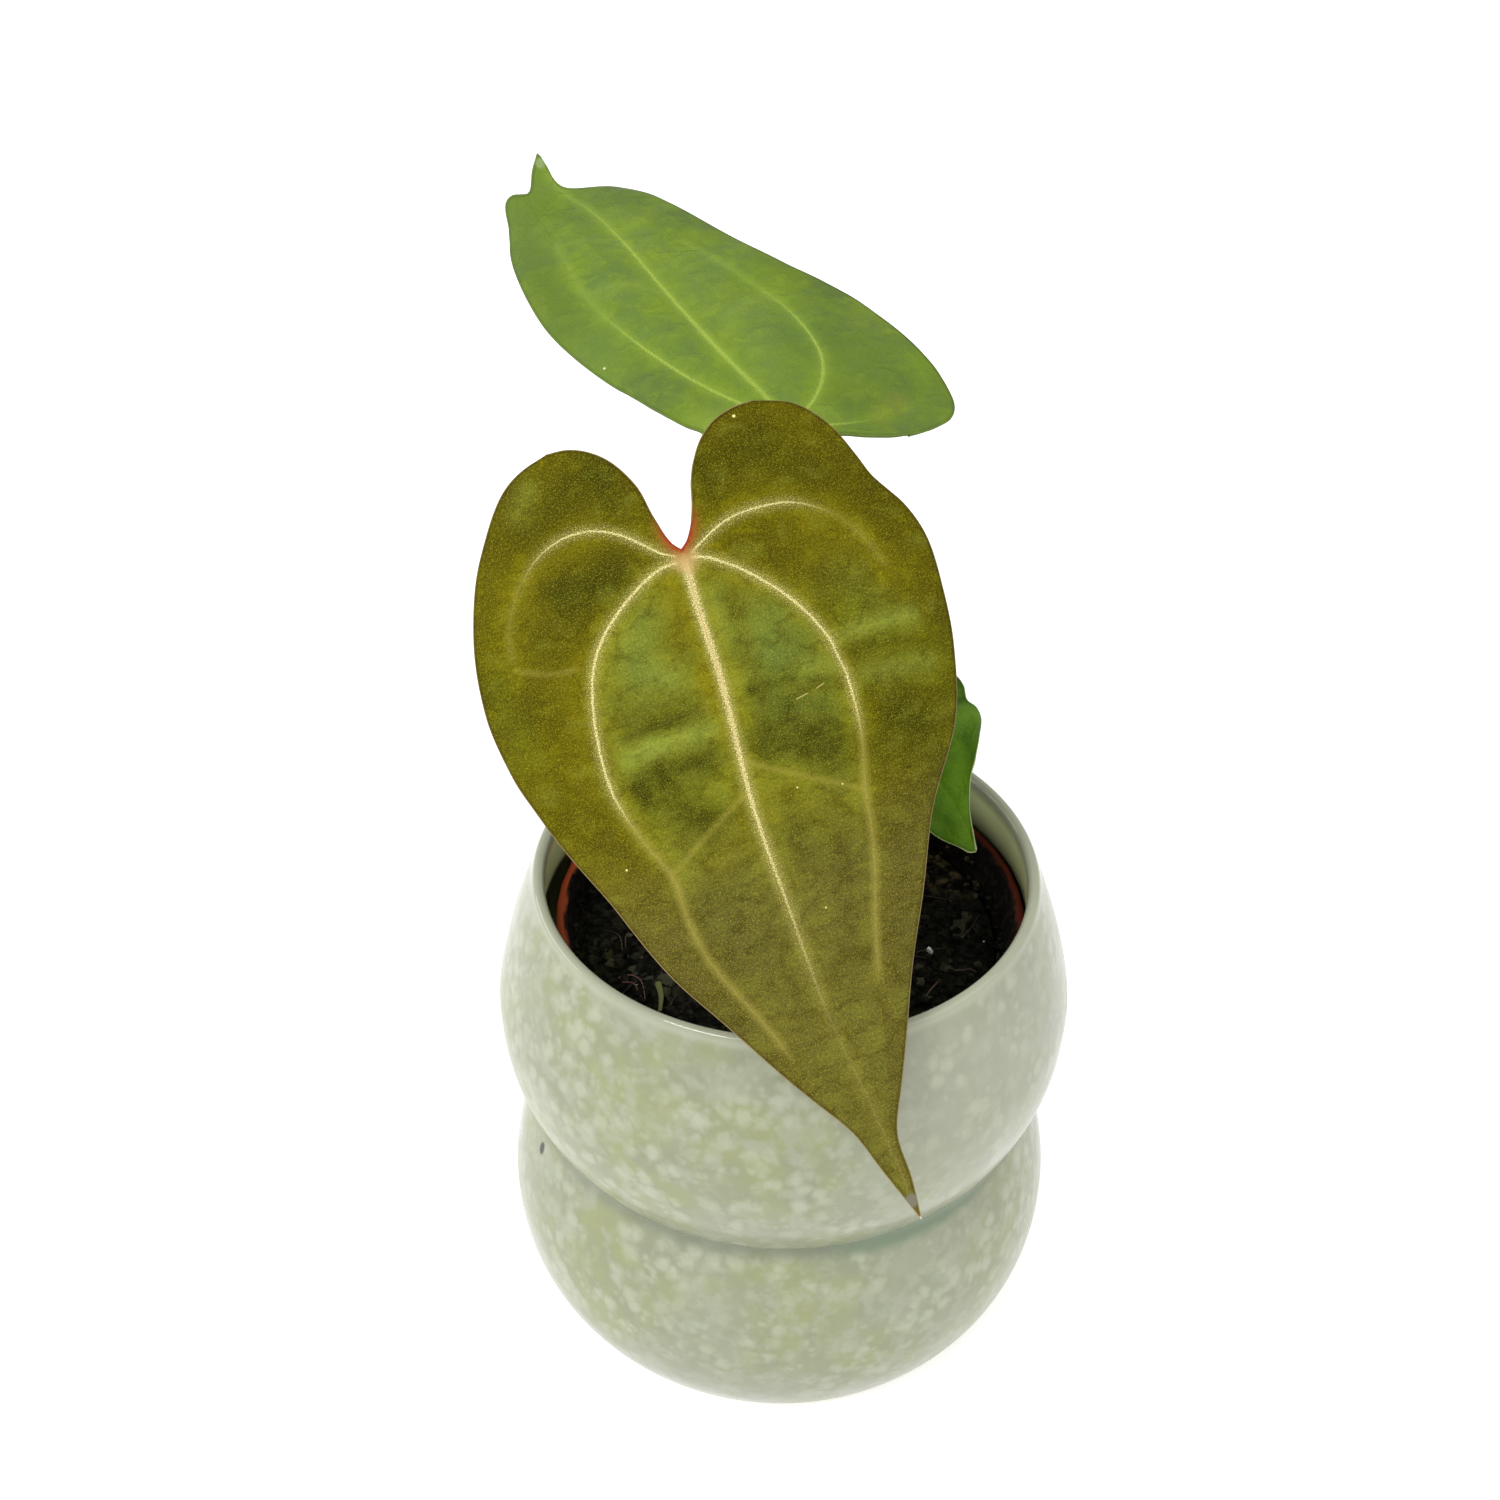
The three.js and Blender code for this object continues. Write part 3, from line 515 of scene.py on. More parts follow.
def add_crumb(bm, layer, place, size, tint, chip=False):
    """One crumb of peat or chip of bark, turned at random and half sunk in the top."""
    turn = Matrix.Rotation(rng.uniform(0, 6.28), 4, "Z") @ Matrix.Rotation(rng.uniform(-0.5, 0.5), 4, "X")
    scale = (size * rng.uniform(1.1, 2.2), size * rng.uniform(0.6, 1), size * rng.uniform(0.25, 0.5))
    if not chip:
        scale = (size * rng.uniform(0.8, 1.3), size * rng.uniform(0.7, 1.1), size * rng.uniform(0.6, 0.9))
    shape = turn @ Matrix.Diagonal((*scale, 1)) @ Matrix.Scale(MM, 4)
    matrix = Matrix.Translation(Vector(place) * MM) @ shape
    if chip:
        made = bmesh.ops.create_cube(bm, size=1.6, matrix=matrix)["verts"]
    else:
        made = bmesh.ops.create_icosphere(bm, subdivisions=1, radius=1, matrix=matrix)["verts"]
    for vert in made:
        vert[layer] = tint
        vert.co += Vector(rng.uniform(-0.22, 0.22, 3)) * size * MM


def any_place(radius, smallest):
    """A random place in a disc, evenly spread, as x and y in mm."""
    radius = radius * math.sqrt(rng.uniform(smallest, 1))
    angle = rng.uniform(0, 2 * math.pi)
    return radius * math.cos(angle), radius * math.sin(angle)


def add_batch(fill):
    """Fills a small mesh with crumbs and adds it to the plug."""
    crumbs = bmesh.new()
    fill(crumbs, crumbs.verts.layers.float.new("tint"))
    batch = bpy.data.meshes.new("crumbs")
    crumbs.to_mesh(batch)
    crumbs.free()
    plug.from_mesh(batch)
    bpy.data.meshes.remove(batch)


def fill_top(bm, layer):
    """Crumbs and a few bark chips on the top of the mix."""
    for _ in range(190):
        x, y = any_place(52.6, 0.004)
        size = 0.45 + 1.5 * rng.uniform() ** 2
        tint = rng.uniform(0, 0.35) if rng.uniform() > 0.12 else rng.uniform(0.5, 0.85)
        if rng.uniform() < 0.004:
            tint, size = 1.0, rng.uniform(0.25, 0.5)
        add_crumb(bm, layer, (x, y, mix_height(x, y) + 0.25 * size), size, tint)
    for _ in range(9):
        x, y = any_place(49, 0.01)
        size = rng.uniform(0.8, 2.1)
        add_crumb(bm, layer, (x, y, mix_height(x, y) + 0.3), size, rng.uniform(0.1, 0.7), chip=True)


def fill_grains(bm, layer):
    """The few pale grains that the picture shows."""
    for x, y, size, tint in (
            (37.4, -5.1, 1.0, 1.0), (50.6, 15.9, 0.95, 0.9), (44, 3, 0.7, 0.92), (-40, -2, 0.8, 0.88)):
        add_crumb(bm, layer, (x, y, mix_height(x, y) + 0.9), size, tint)


def fill_wall(bm, layer):
    """Crumbs that cling to the leaned plastic wall above the mix."""
    for _ in range(150):
        climb = 5.0 * rng.uniform() ** 1.6
        angle = rng.uniform(0, 2 * math.pi)
        radius = 54.7 + 0.13 * climb - 0.5 * rng.uniform()
        lean = LINER_LEAN * (0.35 + 0.09 * climb)
        place = (radius * math.cos(angle) + lean, radius * math.sin(angle), MIX_TOP + 0.1 + climb)
        add_crumb(bm, layer, place, rng.uniform(0.3, 1.0), rng.uniform(0, 0.4))


for _ in range(8):
    add_batch(fill_top)
add_batch(fill_grains)
top_draws, rng = rng, np.random.default_rng(19)
for _ in range(2):
    add_batch(fill_wall)
rng = top_draws
finish_piece("potting_mix_top", plug, "potting_mix", [dark_mix], 35)

# %% [markdown]
# ## Round stalks from a rolled-up grid
# Stems, roots, fibres and the ribs under the leaves are all round rods that follow a line and change
# thickness on the way. A flat grid is rolled up round the line, its seam is merged and both ends are
# closed. The frame that the ring turns in is carried along the line without twisting, so
# fine grooves along a stem stay straight.

# %% A rod along a line


def rolled_rod(bm, line, radius_at, sides, flat=1.0):
    """Adds a rod to bm along the points of line (mm); radius_at(t) in mm, flat squeezes it one way."""
    line = np.asarray(line, float)
    tangents = np.gradient(line, axis=0)
    tangents /= np.linalg.norm(tangents, axis=1)[:, None]
    start = np.array([1.0, 0.2, 0.1]) if abs(tangents[0][0]) < 0.8 else np.array([0.1, 1.0, 0.2])
    normals = []
    for tangent in tangents:
        start = start - tangent * np.dot(start, tangent)
        start = start / np.linalg.norm(start)
        normals.append(start)
    rings = len(line) - 1
    made = bmesh.ops.create_grid(bm, x_segments=sides, y_segments=rings, size=0.5)["verts"]
    uv = bm.loops.layers.uv.get("flat") or bm.loops.layers.uv.new("flat")
    for vert in made:
        for loop in vert.link_loops:
            loop[uv].uv = (vert.co.x + 0.5, vert.co.y + 0.5)
    for vert in made:
        i = round((vert.co.y + 0.5) * rings)
        angle = 2 * math.pi * (vert.co.x + 0.5)
        radius = radius_at(i / rings)
        binormal = np.cross(tangents[i], normals[i])
        place = line[i] + radius * (math.cos(angle) * normals[i] + flat * math.sin(angle) * binormal)
        vert.co = Vector(place) * MM
    bmesh.ops.remove_doubles(bm, verts=made, dist=1e-7)
    rod = [v for v in made if v.is_valid]
    open_edges = list({e for v in rod for e in v.link_edges if e.is_boundary})
    bmesh.ops.holes_fill(bm, edges=open_edges, sides=sides)
    bmesh.ops.recalc_face_normals(bm, faces=list({f for v in rod for f in v.link_faces}))
    return rod


# %% [markdown]
# ## How a blade is bent
# An anthurium blade grows flat and is then bent by its own weight. The blade is drawn flat first, with x
# across it and y from the stem joint to the drip tip. The midrib falls by the angles in `fall`, the
# whole blade rolls about it, and each half curls down a little more the further out it is. The
# same numbers shape the CAD blades, so the fine blades made here lie exactly on them.

# %% Drawing and bending a blade


class Blade:
    """One leaf: flat outlines and veins in mm, and the way the flat drawing is bent in the air."""

    def __init__(self, joint, heading, fall, roll, twist, curl, wave, lobe_share, notch, midrib, left, right,
                 first, lobe, cross, folds):
        self.joint, self.fall = np.array(joint, float), np.array(fall, float)
        self.curl, self.wave = curl, wave
        self.heading, self.roll, self.twist = math.radians(heading), roll, twist
        self.lobe_share, self.notch, self.midrib = lobe_share, notch, midrib
        self.halves = {"left": left, "right": right}
        self.first, self.lobe, self.cross, self.folds = first, lobe, cross, folds
        self.sheet, self.wrinkle = [], 0.28
        ys = np.arange(-60, 201)
        angle = np.radians(np.interp(ys, self.fall[:, 0], self.fall[:, 1]))
        forward = np.concatenate([[0], np.cumsum((np.cos(angle[1:]) + np.cos(angle[:-1])) / 2)])
        down = np.concatenate([[0], np.cumsum((np.sin(angle[1:]) + np.sin(angle[:-1])) / 2)])
        self.ys, self.forward, self.down = ys, forward - forward[60], down - down[60]

    def place(self, x, y, lift=0.0):
        """Flat places (arrays, mm) to their places in the air (mm)."""
        x, y = np.atleast_1d(np.asarray(x, float)), np.atleast_1d(np.asarray(y, float))
        lift = np.broadcast_to(np.asarray(lift, float), x.shape)[:, None]
        ahead = np.array([math.sin(self.heading), -math.cos(self.heading), 0])
        across = np.array([math.cos(self.heading), math.sin(self.heading), 0])
        above = np.array([0, 0, 1.0])
        slope = np.radians(np.interp(y, self.fall[:, 0], self.fall[:, 1]))[:, None]
        face = ahead * np.sin(slope) + above * np.cos(slope)
        roll = np.radians(self.roll + self.twist * y)[:, None]
        side = across * np.cos(roll) + face * np.sin(roll)
        up = face * np.cos(roll) - across * np.sin(roll)
        curl = np.where(x > 0, self.curl[1], self.curl[0])[:, None]
        turn = curl * x[:, None]
        normal = up * np.cos(turn) + side * np.sin(turn)
        return (self.joint + ahead * np.interp(y, self.ys, self.forward)[:, None]
                - above * np.interp(y, self.ys, self.down)[:, None]
                + side * np.sin(turn) / curl - up * (1 - np.cos(turn)) / curl + normal * lift)


def side_of_line(points, line):
    """Signed distance (mm) of flat points to a line, positive on its left, and how far along it (0 to 1)."""
    best = np.full(len(points), 1e9)
    signed = np.zeros(len(points))
    run = np.zeros(len(points))
    for i, (a, b) in enumerate(zip(line[:-1], line[1:])):
        step = b - a
        t = np.clip(((points - a) @ step) / (step @ step), 0, 1)
        offset = points - (a + t[:, None] * step)
        distance = np.hypot(offset[:, 0], offset[:, 1])
        closer = distance < best
        best = np.where(closer, distance, best)
        cross = step[0] * offset[:, 1] - step[1] * offset[:, 0]
        signed = np.where(closer, np.where(cross >= 0, distance, -distance), signed)
        run = np.where(closer, (i + t) / (len(line) - 1), run)
    return signed, run


def capsule(points, x0, y0, x1, y1, reach):
    """A soft patch: 1 on the line between two flat places, falling off over the reach."""
    near = np.array([[x0, y0], [x1, y1 + 1e-6]], float)
    distance, _ = side_of_line(points, near)
    return np.exp(-((distance / reach) ** 2))


# %% [markdown]
# The veins are kept as distances, stored on the points of the mesh. A vein drawn as a colour per point
# would look like beads on a string. A signed distance, positive on one side and negative on the other,
# passes exactly through zero on the vein, so the shader can draw a crisp line between the points.

# %% Building a blade from two grids
SHEET = 240
SHEET_ORIGIN = (0.5, 0.25)


def blade_mesh(leaf, stations, steps, puff_height, patches):
    """Two grids, one for each half, laid on the flat drawing, joined at the midrib and bent."""
    bm = bmesh.new()
    uv = bm.loops.layers.uv.new("flat")
    names = ["rim", "rib", "rib_run", "first", "first_run", "lobe", "lobe_run", "cross"]
    layers = {name: bm.verts.layers.float.new(name) for name in names + list(patches)}
    lobe_steps = round(stations * leaf.lobe_share)
    rib_line = smooth_line(leaf.notch + leaf.midrib, stations - lobe_steps)
    for half, drawing in leaf.halves.items():
        made = bmesh.ops.create_grid(bm, x_segments=steps, y_segments=stations, size=0.5)["verts"]
        inner = np.vstack([smooth_line(drawing["inner"] + leaf.notch, lobe_steps), rib_line[1:]])
        outer = smooth_line(drawing["outer"], stations)
        st = np.array([(v.co.y + 0.5, v.co.x + 0.5) for v in made])
        rows = np.rint(st[:, 0] * stations).astype(int)
        flat = inner[rows] + (outer[rows] - inner[rows]) * st[:, 1:2]
        sign = -1 if half == "left" else 1
        rim, _ = side_of_line(flat, np.vstack([inner[:lobe_steps + 1][::-1], outer]))
        fields = {"rim": np.abs(rim)}
        fields["rib"], fields["rib_run"] = side_of_line(flat, rib_line)
        for name, lines in (("first", leaf.first), ("lobe", leaf.lobe)):
            distance, fields[name + "_run"] = side_of_line(flat, smooth_line(lines[half], 60))
            fields[name] = distance * sign
        fields["cross"] = np.full(len(flat), 99.0)
        for line in leaf.cross:
            distance, _ = side_of_line(flat, smooth_line(line, 20))
            fields["cross"] = np.minimum(fields["cross"], np.abs(distance))
        for name, spots in patches.items():
            strength = sum((w * capsule(flat, *spot) for *spot, w in spots), np.zeros(len(flat)))
            fields[name] = np.clip(strength, 0, 1)
        nearest = np.min(np.abs([fields["first"], fields["lobe"], fields["rib"]]), axis=0)
        t, s = st[:, 1], st[:, 0]
        height, count, phase = leaf.wave
        wave = height * t**3 * np.sin(2 * np.pi * count * s + phase) * np.minimum(1, 8 * s * (1 - s))
        lift = puff_height * (1 - np.exp(-((nearest / 7) ** 2))) * (1 - t**6) + wave
        for *fold, w in leaf.folds:
            lift += w * capsule(flat, *fold) * (1 - t**6)
        bumps = np.array([noise.noise(Vector((x / 11, y / 11, 2.7))) for x, y in flat])
        wrinkles = np.array([noise.noise(Vector((x / 7, y / 3.2, 5.9))) for x, y in flat])
        lift += (0.55 * bumps + leaf.wrinkle * wrinkles) * (1 - t**6) * np.minimum(1, nearest / 4)
        leaf.sheet.append(np.column_stack([flat, lift]))
        place = leaf.place(flat[:, 0], flat[:, 1], lift) * MM
        for i, vert in enumerate(made):
            for loop in vert.link_loops:
                loop[uv].uv = flat[i] / SHEET + SHEET_ORIGIN
            for name, values in fields.items():
                vert[layers[name]] = values[i]
            vert.co = place[i]
    bmesh.ops.remove_doubles(bm, verts=bm.verts[:], dist=2e-6)
    bmesh.ops.recalc_face_normals(bm, faces=bm.faces[:])
    if sum(f.normal.z for f in bm.faces) < 0:
        bmesh.ops.reverse_faces(bm, faces=bm.faces[:])
    return bm


# %% [markdown]
# ## The finish of a blade
# Seen close, the upper face is a dull velvet: tiny cells that catch the light as a fine grain, dark
# thread-like veins between them, and cream main veins with frayed edges. One recipe serves all three
# leaves, and a table of colours tells them apart. Distances stored on the mesh place the main veins,
# the thin dark line and the pale rim at the margin, and the red flush in the notch.
# The flat drawing is the UV map, so the grain follows the blade and not the room.

# %% Recipe for the upper face


def flat_drawing(finish):
    """The flat drawing of the leaf in mm, read back from its UV map."""
    return finish.scaled(finish.vector("SUBTRACT", finish.uv(), (*SHEET_ORIGIN, 0)), (SHEET, SHEET, 0))


def blade_finish(name, dim, tones, vein, roughness, specular, spots, scratches=()):
    """Upper face of a blade. tones: colours by name; vein: reaches in mm and strengths; spots: marks."""
    leaf = Finish(name, roughness, specular, dim, tones)
    flat = flat_drawing(leaf)
    slow = leaf.noise(flat, 0.05, 3, 0.6)
    medium = leaf.noise(flat, 0.2, 4, 0.65)
    grain = leaf.noise(flat, 1.6, 4, 0.9)
    dust = leaf.noise(flat, 3.6, 2, 0.7)
    streak = leaf.noise(leaf.scaled(flat, (0.22, 1.5, 1)), 1.0, 3, 0.65)
    lines = {line: leaf.attribute(line) for line in ("rib", "first", "lobe")}
    gaps = {line: leaf.math("ABSOLUTE", signed) for line, signed in lines.items()}
    panel = leaf.fade(lines["first"], -4, 3)
    leaf.colour = leaf.mix(leaf.fade(slow, 0.36, 0.64), "deep", "main")
    leaf.paint(panel, leaf.mix(leaf.fade(slow, 0.36, 0.64), "centre_deep", "centre"))
    leaf.paint(leaf.fade(medium, 0.45, 0.72, 0, 0.5), "bright")
    broken = leaf.fade(medium, 0.25, 0.6, 0.6, 1.0)
    # Patches of tone; most `pale` patches are painted highlight and some `dim` patches painted shade.
    for patch in ("green", "cool", "dim", "warm", "pale"):
        leaf.paint(leaf.times(leaf.attribute(patch), broken), patch)
    low_from, low_to, low_share = vein["low"]
    lower = leaf.fade(leaf.split(flat)[1], low_from, low_to, 0, low_share)
    leaf.paint(lower, "low")
    # The tissue beside a vein is yellower.
    gap = leaf.math("MINIMUM", leaf.math("MINIMUM", gaps["first"], gaps["lobe"]), gaps["rib"])
    glow = leaf.fade(gap, vein["glow"], 0.3, 0, vein["glow_share"])
    glow = leaf.times(glow, leaf.minus(1.0, lower))
    leaf.paint(leaf.times(glow, leaf.fade(medium, 0.3, 0.7, 0.4, 1)), "glow")
    # Thread-like net between the veins, and hair-fine streaks that run across the blade.
    drift = leaf.scaled(leaf.noise(flat, 0.22, 4, output=1), (9, 9, 0))
    quilt = leaf.cells(leaf.scaled(leaf.vector("ADD", flat, drift), (0.6, 1.0, 1)), 0.17, "DISTANCE_TO_EDGE")
    net = leaf.times(leaf.fade(quilt, 0.16, 0.0, 0, vein["net"]), leaf.fade(medium, 0.35, 0.62))
    leaf.paint(leaf.fade(quilt, 0.12, 0.42, 0, vein["net"] * 0.6), "quilt")
    leaf.paint(net, "net")
    leaf.paint(leaf.fade(streak, 0.46, 0.3, 0, vein["streak"]), "net")
    wave = leaf.noise(leaf.scaled(leaf.vector("ADD", flat, drift), (0.1, 0.55, 1)), 1.0, 2, 0.5)
    hair = leaf.fade(leaf.math("ABSOLUTE", leaf.minus(wave, 0.5)), 0.016, 0.0, 0, vein["streak"])
    leaf.paint(leaf.times(hair, leaf.fade(medium, 0.4, 0.6)), "shade")
    # Fine grain: darker points the size of the leaf's cells, and paler points, in two sizes, that are painted
    # glints of the cells.
    leaf.paint(leaf.fade(grain, 0.5, 0.25, 0, vein["grain"] * 1.5), "shade")
    leaf.paint(leaf.fade(grain, 0.52, 0.75, 0, vein["grain"]), "sparkle")
    leaf.paint(leaf.fade(dust, 0.56, 0.7, 0, vein["grain"] * 1.2), "sparkle")
    # Faint cross veins.
    ragged_cross = leaf.plus(leaf.attribute("cross"), leaf.fade(grain, 0.3, 0.7, -0.9, 0.9))
    cross = leaf.fade(ragged_cross, vein["cross_reach"], 0.0, 0, vein["cross"])
    leaf.paint(leaf.times(cross, broken), "vein_faint")
    # Main veins: a ragged core, and around it a dust of bright points that thins out to both sides.
    points = leaf.fade(dust, 0.5, 0.66)
    ragged = leaf.plus(leaf.fade(dust, 0.35, 0.65, 0.8, -0.4), leaf.fade(grain, 0.35, 0.65, 0.4, -0.2))
    for line, haze_reach in (("rib", 2.8), ("first", vein["haze_reach"]), ("lobe", vein["haze_reach"])):
        thick, slim_at, slim, start, end, left_over, haze_share, late = vein[line]
        run = leaf.attribute(line + "_run")
        width = leaf.fade(run, 0.0, slim_at, thick, slim)
        core = leaf.fade(leaf.plus(leaf.math("DIVIDE", gaps[line], width), ragged), 1.3, 0.35)
        fringe = leaf.fade(gaps[line], vein["fringe"], 0.2, 0, vein["fringe_share"])
        fringe = leaf.times(leaf.times(fringe, fringe), points)
        alive = leaf.times(leaf.fade(run, 0.0, 0.01), leaf.fade(run, start, end, 1, left_over))
        alive = leaf.times(alive, leaf.fade(run, 0.95, 1.0, 1, 0))
        haze = leaf.fade(gaps[line], haze_reach, 0.1, 0, haze_share)
        haze = leaf.times(haze, leaf.fade(run, start, end, 1, late))
        haze = leaf.times(haze, leaf.fade(run, 0.94, 1.0, 1, 0))
        leaf.paint(haze, "vein_faint")
        tone = leaf.mix(leaf.fade(dust, 0.35, 0.7), "vein", "vein_bright")
        leaf.paint(leaf.times(leaf.math("MAXIMUM", core, fringe), alive), tone)
    rib_run = leaf.attribute("rib_run")
    thread = leaf.times(leaf.fade(gaps["rib"], 0.34, 0.08), leaf.fade(rib_run, 0.5, 0.1, 0, vein["thread"]))
    leaf.paint(thread, "thread")
    # The knot where all veins meet, and the flushed edge of the notch.
    grainy = leaf.fade(grain, 0.3, 0.7, 0.8, -0.8)
    hub = leaf.plus(leaf.distance(flat, (-0.2, 0.2, 0)), grainy)
    leaf.paint(leaf.fade(hub, 4.6, 0.8, 0, vein["hub"]), "hub")
    rim = leaf.attribute("rim")
    flush_place = leaf.fade(leaf.distance(flat, (0.6, -3.6, 0)), 11.0, 3.0)
    flush_reach = leaf.plus(rim, grainy)
    leaf.paint(leaf.times(flush_place, leaf.fade(flush_reach, 3.4, 0.2, 0, vein["flush"])), "flush")
    leaf.paint(leaf.times(flush_place, leaf.fade(flush_reach, 1.1, 0.1, 0, vein["flush"])), "flush_edge")
    # Margin: a thin dark line and then a pale rim.
    margin_dark = leaf.times(leaf.fade(rim, 1.1, 0.5), leaf.minus(1.0, flush_place))
    leaf.paint(leaf.times(margin_dark, 0.35), "margin_dark")
    pale_rim = leaf.fade(rim, vein["rim_width"], 0.1, 0, vein["rim"])
    leaf.paint(leaf.times(pale_rim, leaf.minus(1.0, flush_place)), "rim")
    for x, y, radius, tone in spots:
        leaf.paint(leaf.fade(leaf.distance(flat, (x, y, 0)), radius, radius * 0.45), tone)
    for (x0, y0), (x1, y1) in scratches:
        length = math.hypot(x1 - x0, y1 - y0)
        ux, uy = (x1 - x0) / length, (y1 - y0) / length
        away = leaf.vector("SUBTRACT", flat, (x0, y0, 0))
        along = leaf.vector("DOT_PRODUCT", away, (ux, uy, 0))
        beside = leaf.math("ABSOLUTE", leaf.vector("DOT_PRODUCT", away, (-uy, ux, 0)))
        mark = leaf.times(leaf.fade(beside, 0.2, 0.05), leaf.fade(along, 0, 0.3))
        leaf.paint(leaf.times(mark, leaf.fade(along, length, length - 0.3, 0, 0.7)), "vein")
    # Relief: cells, veins as valleys, and the skin between them slightly quilted.
    cell_bump = leaf.plus(leaf.times(grain, 0.35), leaf.times(medium, 1.2))
    valley = leaf.fade(gap, 0.0, 2.2)
    body = leaf.plus(cell_bump, leaf.times(valley, 0.5))
    body = leaf.plus(body, leaf.fade(quilt, 0.0, 0.35, 0, 1.0))
    gloss = leaf.fade(medium, 0.3, 0.7, roughness - 0.07, roughness + 0.08)
    return leaf.done(leaf.bump(body, 0.0006, 0.6), gloss)


# %% [markdown]
# The lower face is paler and duller, with no cream lines: there the veins stand out as round ribs.

# %% Recipe for the lower face


def under_finish(name, main, deep, pale):
    """Lower face of a blade: matt, mottled, with a faint net."""
    under = Finish(name, roughness=0.62, specular=0.3)
    flat = flat_drawing(under)
    drift = under.scaled(under.noise(flat, 0.3, 3, output=1), (5, 5, 0))
    net = under.cells(under.vector("ADD", flat, drift), 0.22, "DISTANCE_TO_EDGE")
    under.colour = under.mix(under.fade(under.noise(flat, 0.06, 3), 0.35, 0.65), deep, main)
    under.paint(under.fade(under.noise(flat, 1.4, 3), 0.5, 0.85, 0, 0.35), pale)
    under.paint(under.fade(net, 0.09, 0, 0, 0.5), pale)
    under.paint(under.fade(under.attribute("rim"), 1.2, 0.3, 0, 0.5), pale)
    body = under.plus(under.fade(net, 0.0, 0.12), under.times(under.noise(flat, 1.6, 3), 0.5))
    return under.done(under.bump(body, 0.0004, 0.6))


# %% [markdown]
# ## The front leaf
# The largest blade, olive bronze, hangs over the rim of the pot. The light and dark bars across it are
# shallow folds, so they are in the shape (`folds`), and their light and shade are also painted into the
# colour (`pale`, `dim`, `cool`): painted highlight on the ridges and painted shade in the hollows.

# %% Front leaf drawing
front = Blade(
    joint=(-24.7, 0, 225.9), heading=28, fall=[[-45, 40], [0, 43], [160, 55]], roll=18, twist=-0.03,
    curl=(0.0066, 0.0066), wave=(0.9, 5, 0.4), lobe_share=0.17, notch=[[-0.2, -2.8]],
    midrib=[[-1, 12.6], [-1.3, 28], [-3.4, 58], [-2.6, 82], [-1.1, 108], [2.2, 128], [5, 146], [7, 159.8]],
    left={"inner": [[-22, -34.3], [-16.8, -33.4], [-12.3, -31], [-8.5, -27], [-4.9, -19.6], [-3.6, -11.5],
        [-1.8, -4.8]], "outer": [[-22, -34.3], [-27, -33.6], [-31.7, -31.8], [-35.7, -29], [-42.3, -21.6],
        [-47.8, -13.4], [-52.7, 0.6], [-55.7, 15], [-56.2, 23], [-54.3, 35], [-51.1, 44.4], [-46.4, 57.8],
        [-40.9, 70.6], [-38.3, 77], [-32.2, 90.4], [-24.6, 103.1], [-16.6, 116], [-10.6, 124.9],
        [-5.2, 132.5], [-2.6, 136.9], [1.4, 146.9], [7, 159.8]]},
    right={"inner": [[27, -30.5], [21.6, -30.2], [16.6, -28.7], [12.4, -25.5], [9.2, -21.2], [6.9, -16.5],
        [5.4, -11.4], [3.4, -6.8], [1.6, -4.2]], "outer": [[27, -30.5], [32, -29.4], [37, -27.2],
        [43.6, -20.1], [47.6, -11.8], [49.3, -6.8], [51.8, -2.4], [54.3, 2], [57, 10.6], [57.6, 21.6],
        [56.7, 31.5], [53.8, 41], [48, 55.1], [35.7, 73.6], [25.5, 94.3], [17.7, 112.1], [10.6, 128.5],
        [6.9, 139], [7.4, 149.6], [7, 159.8]]},
    first={"left": [[-1.4, 0.2], [-4.4, -0.2], [-8.1, 0.6], [-17.1, 5.4], [-24.5, 11.6], [-28.8, 18.4],
        [-32.2, 31], [-32.8, 46], [-29.6, 58], [-25.5, 68.7], [-25.3, 77.5], [-23.6, 87.6], [-20, 96.6],
        [-15.2, 106.8], [-10.7, 118.4]], "right": [[0.8, -0.2], [3.3, 0.2], [8.6, 3.6], [13.6, 8.2],
        [18.5, 13.8], [21.9, 18.9], [24.5, 24.4], [26.6, 36], [25.6, 50], [22.6, 61.7], [21, 71.5],
        [19, 80], [16.2, 88.9], [13.9, 97.7], [12, 106.5]]},
    lobe={"left": [[-1.4, -1.2], [-5.1, -3.5], [-8.1, -6.6], [-13.1, -11.1], [-18.9, -13.9], [-25.7, -14.4],
        [-32.7, -12], [-40.2, -5.1], [-44.4, 3.2], [-45.4, 10.5]], "right": [[1.4, -1], [4.6, -2.8],
        [8.6, -4.7], [13, -6.1], [19.4, -6.5], [27.5, -5.5], [33.6, -2.3], [37.6, 1.3], [42, 8], [45, 16]]},
    cross=[[[-1.7, 48.1], [2.9, 51.2], [10.3, 55.5], [16.5, 59], [22.1, 61.9]], [[-4.9, 55.4], [-16.5, 62],
        [-22.4, 65.7], [-25.8, 67.8]], [[-31.6, 15.6], [-37.3, 14.8], [-45.3, 11]]],
    folds=[(-26.9, 39.9, -20.5, 38.7, 2.8, 1.3), (-20.5, 38.7, -7.3, 38.6, 2.6, 1.2),
        (-25, 32.8, -8, 32.4, 3, -1.1), (25.6, 27.5, 46.6, 26.8, 2.8, 1.2),
        (28.8, 31.6, 46, 32.6, 2.6, -0.9), (30, 36.6, 46, 38.6, 2.8, 0.6), (4.2, 33, 13.8, 33, 1.8, -0.9),
        (18, 31.6, 25, 34.6, 3, 0.8), (-38, 44, -50, 40, 4, 0.5), (8, 64, 18, 70, 5, 0.5),
        (-44, 14, -52, 16, 3, 0.4), (-42, 29, -53, 27, 3, 0.4), (-12, 20, -20, 22, 3, 0.5)])

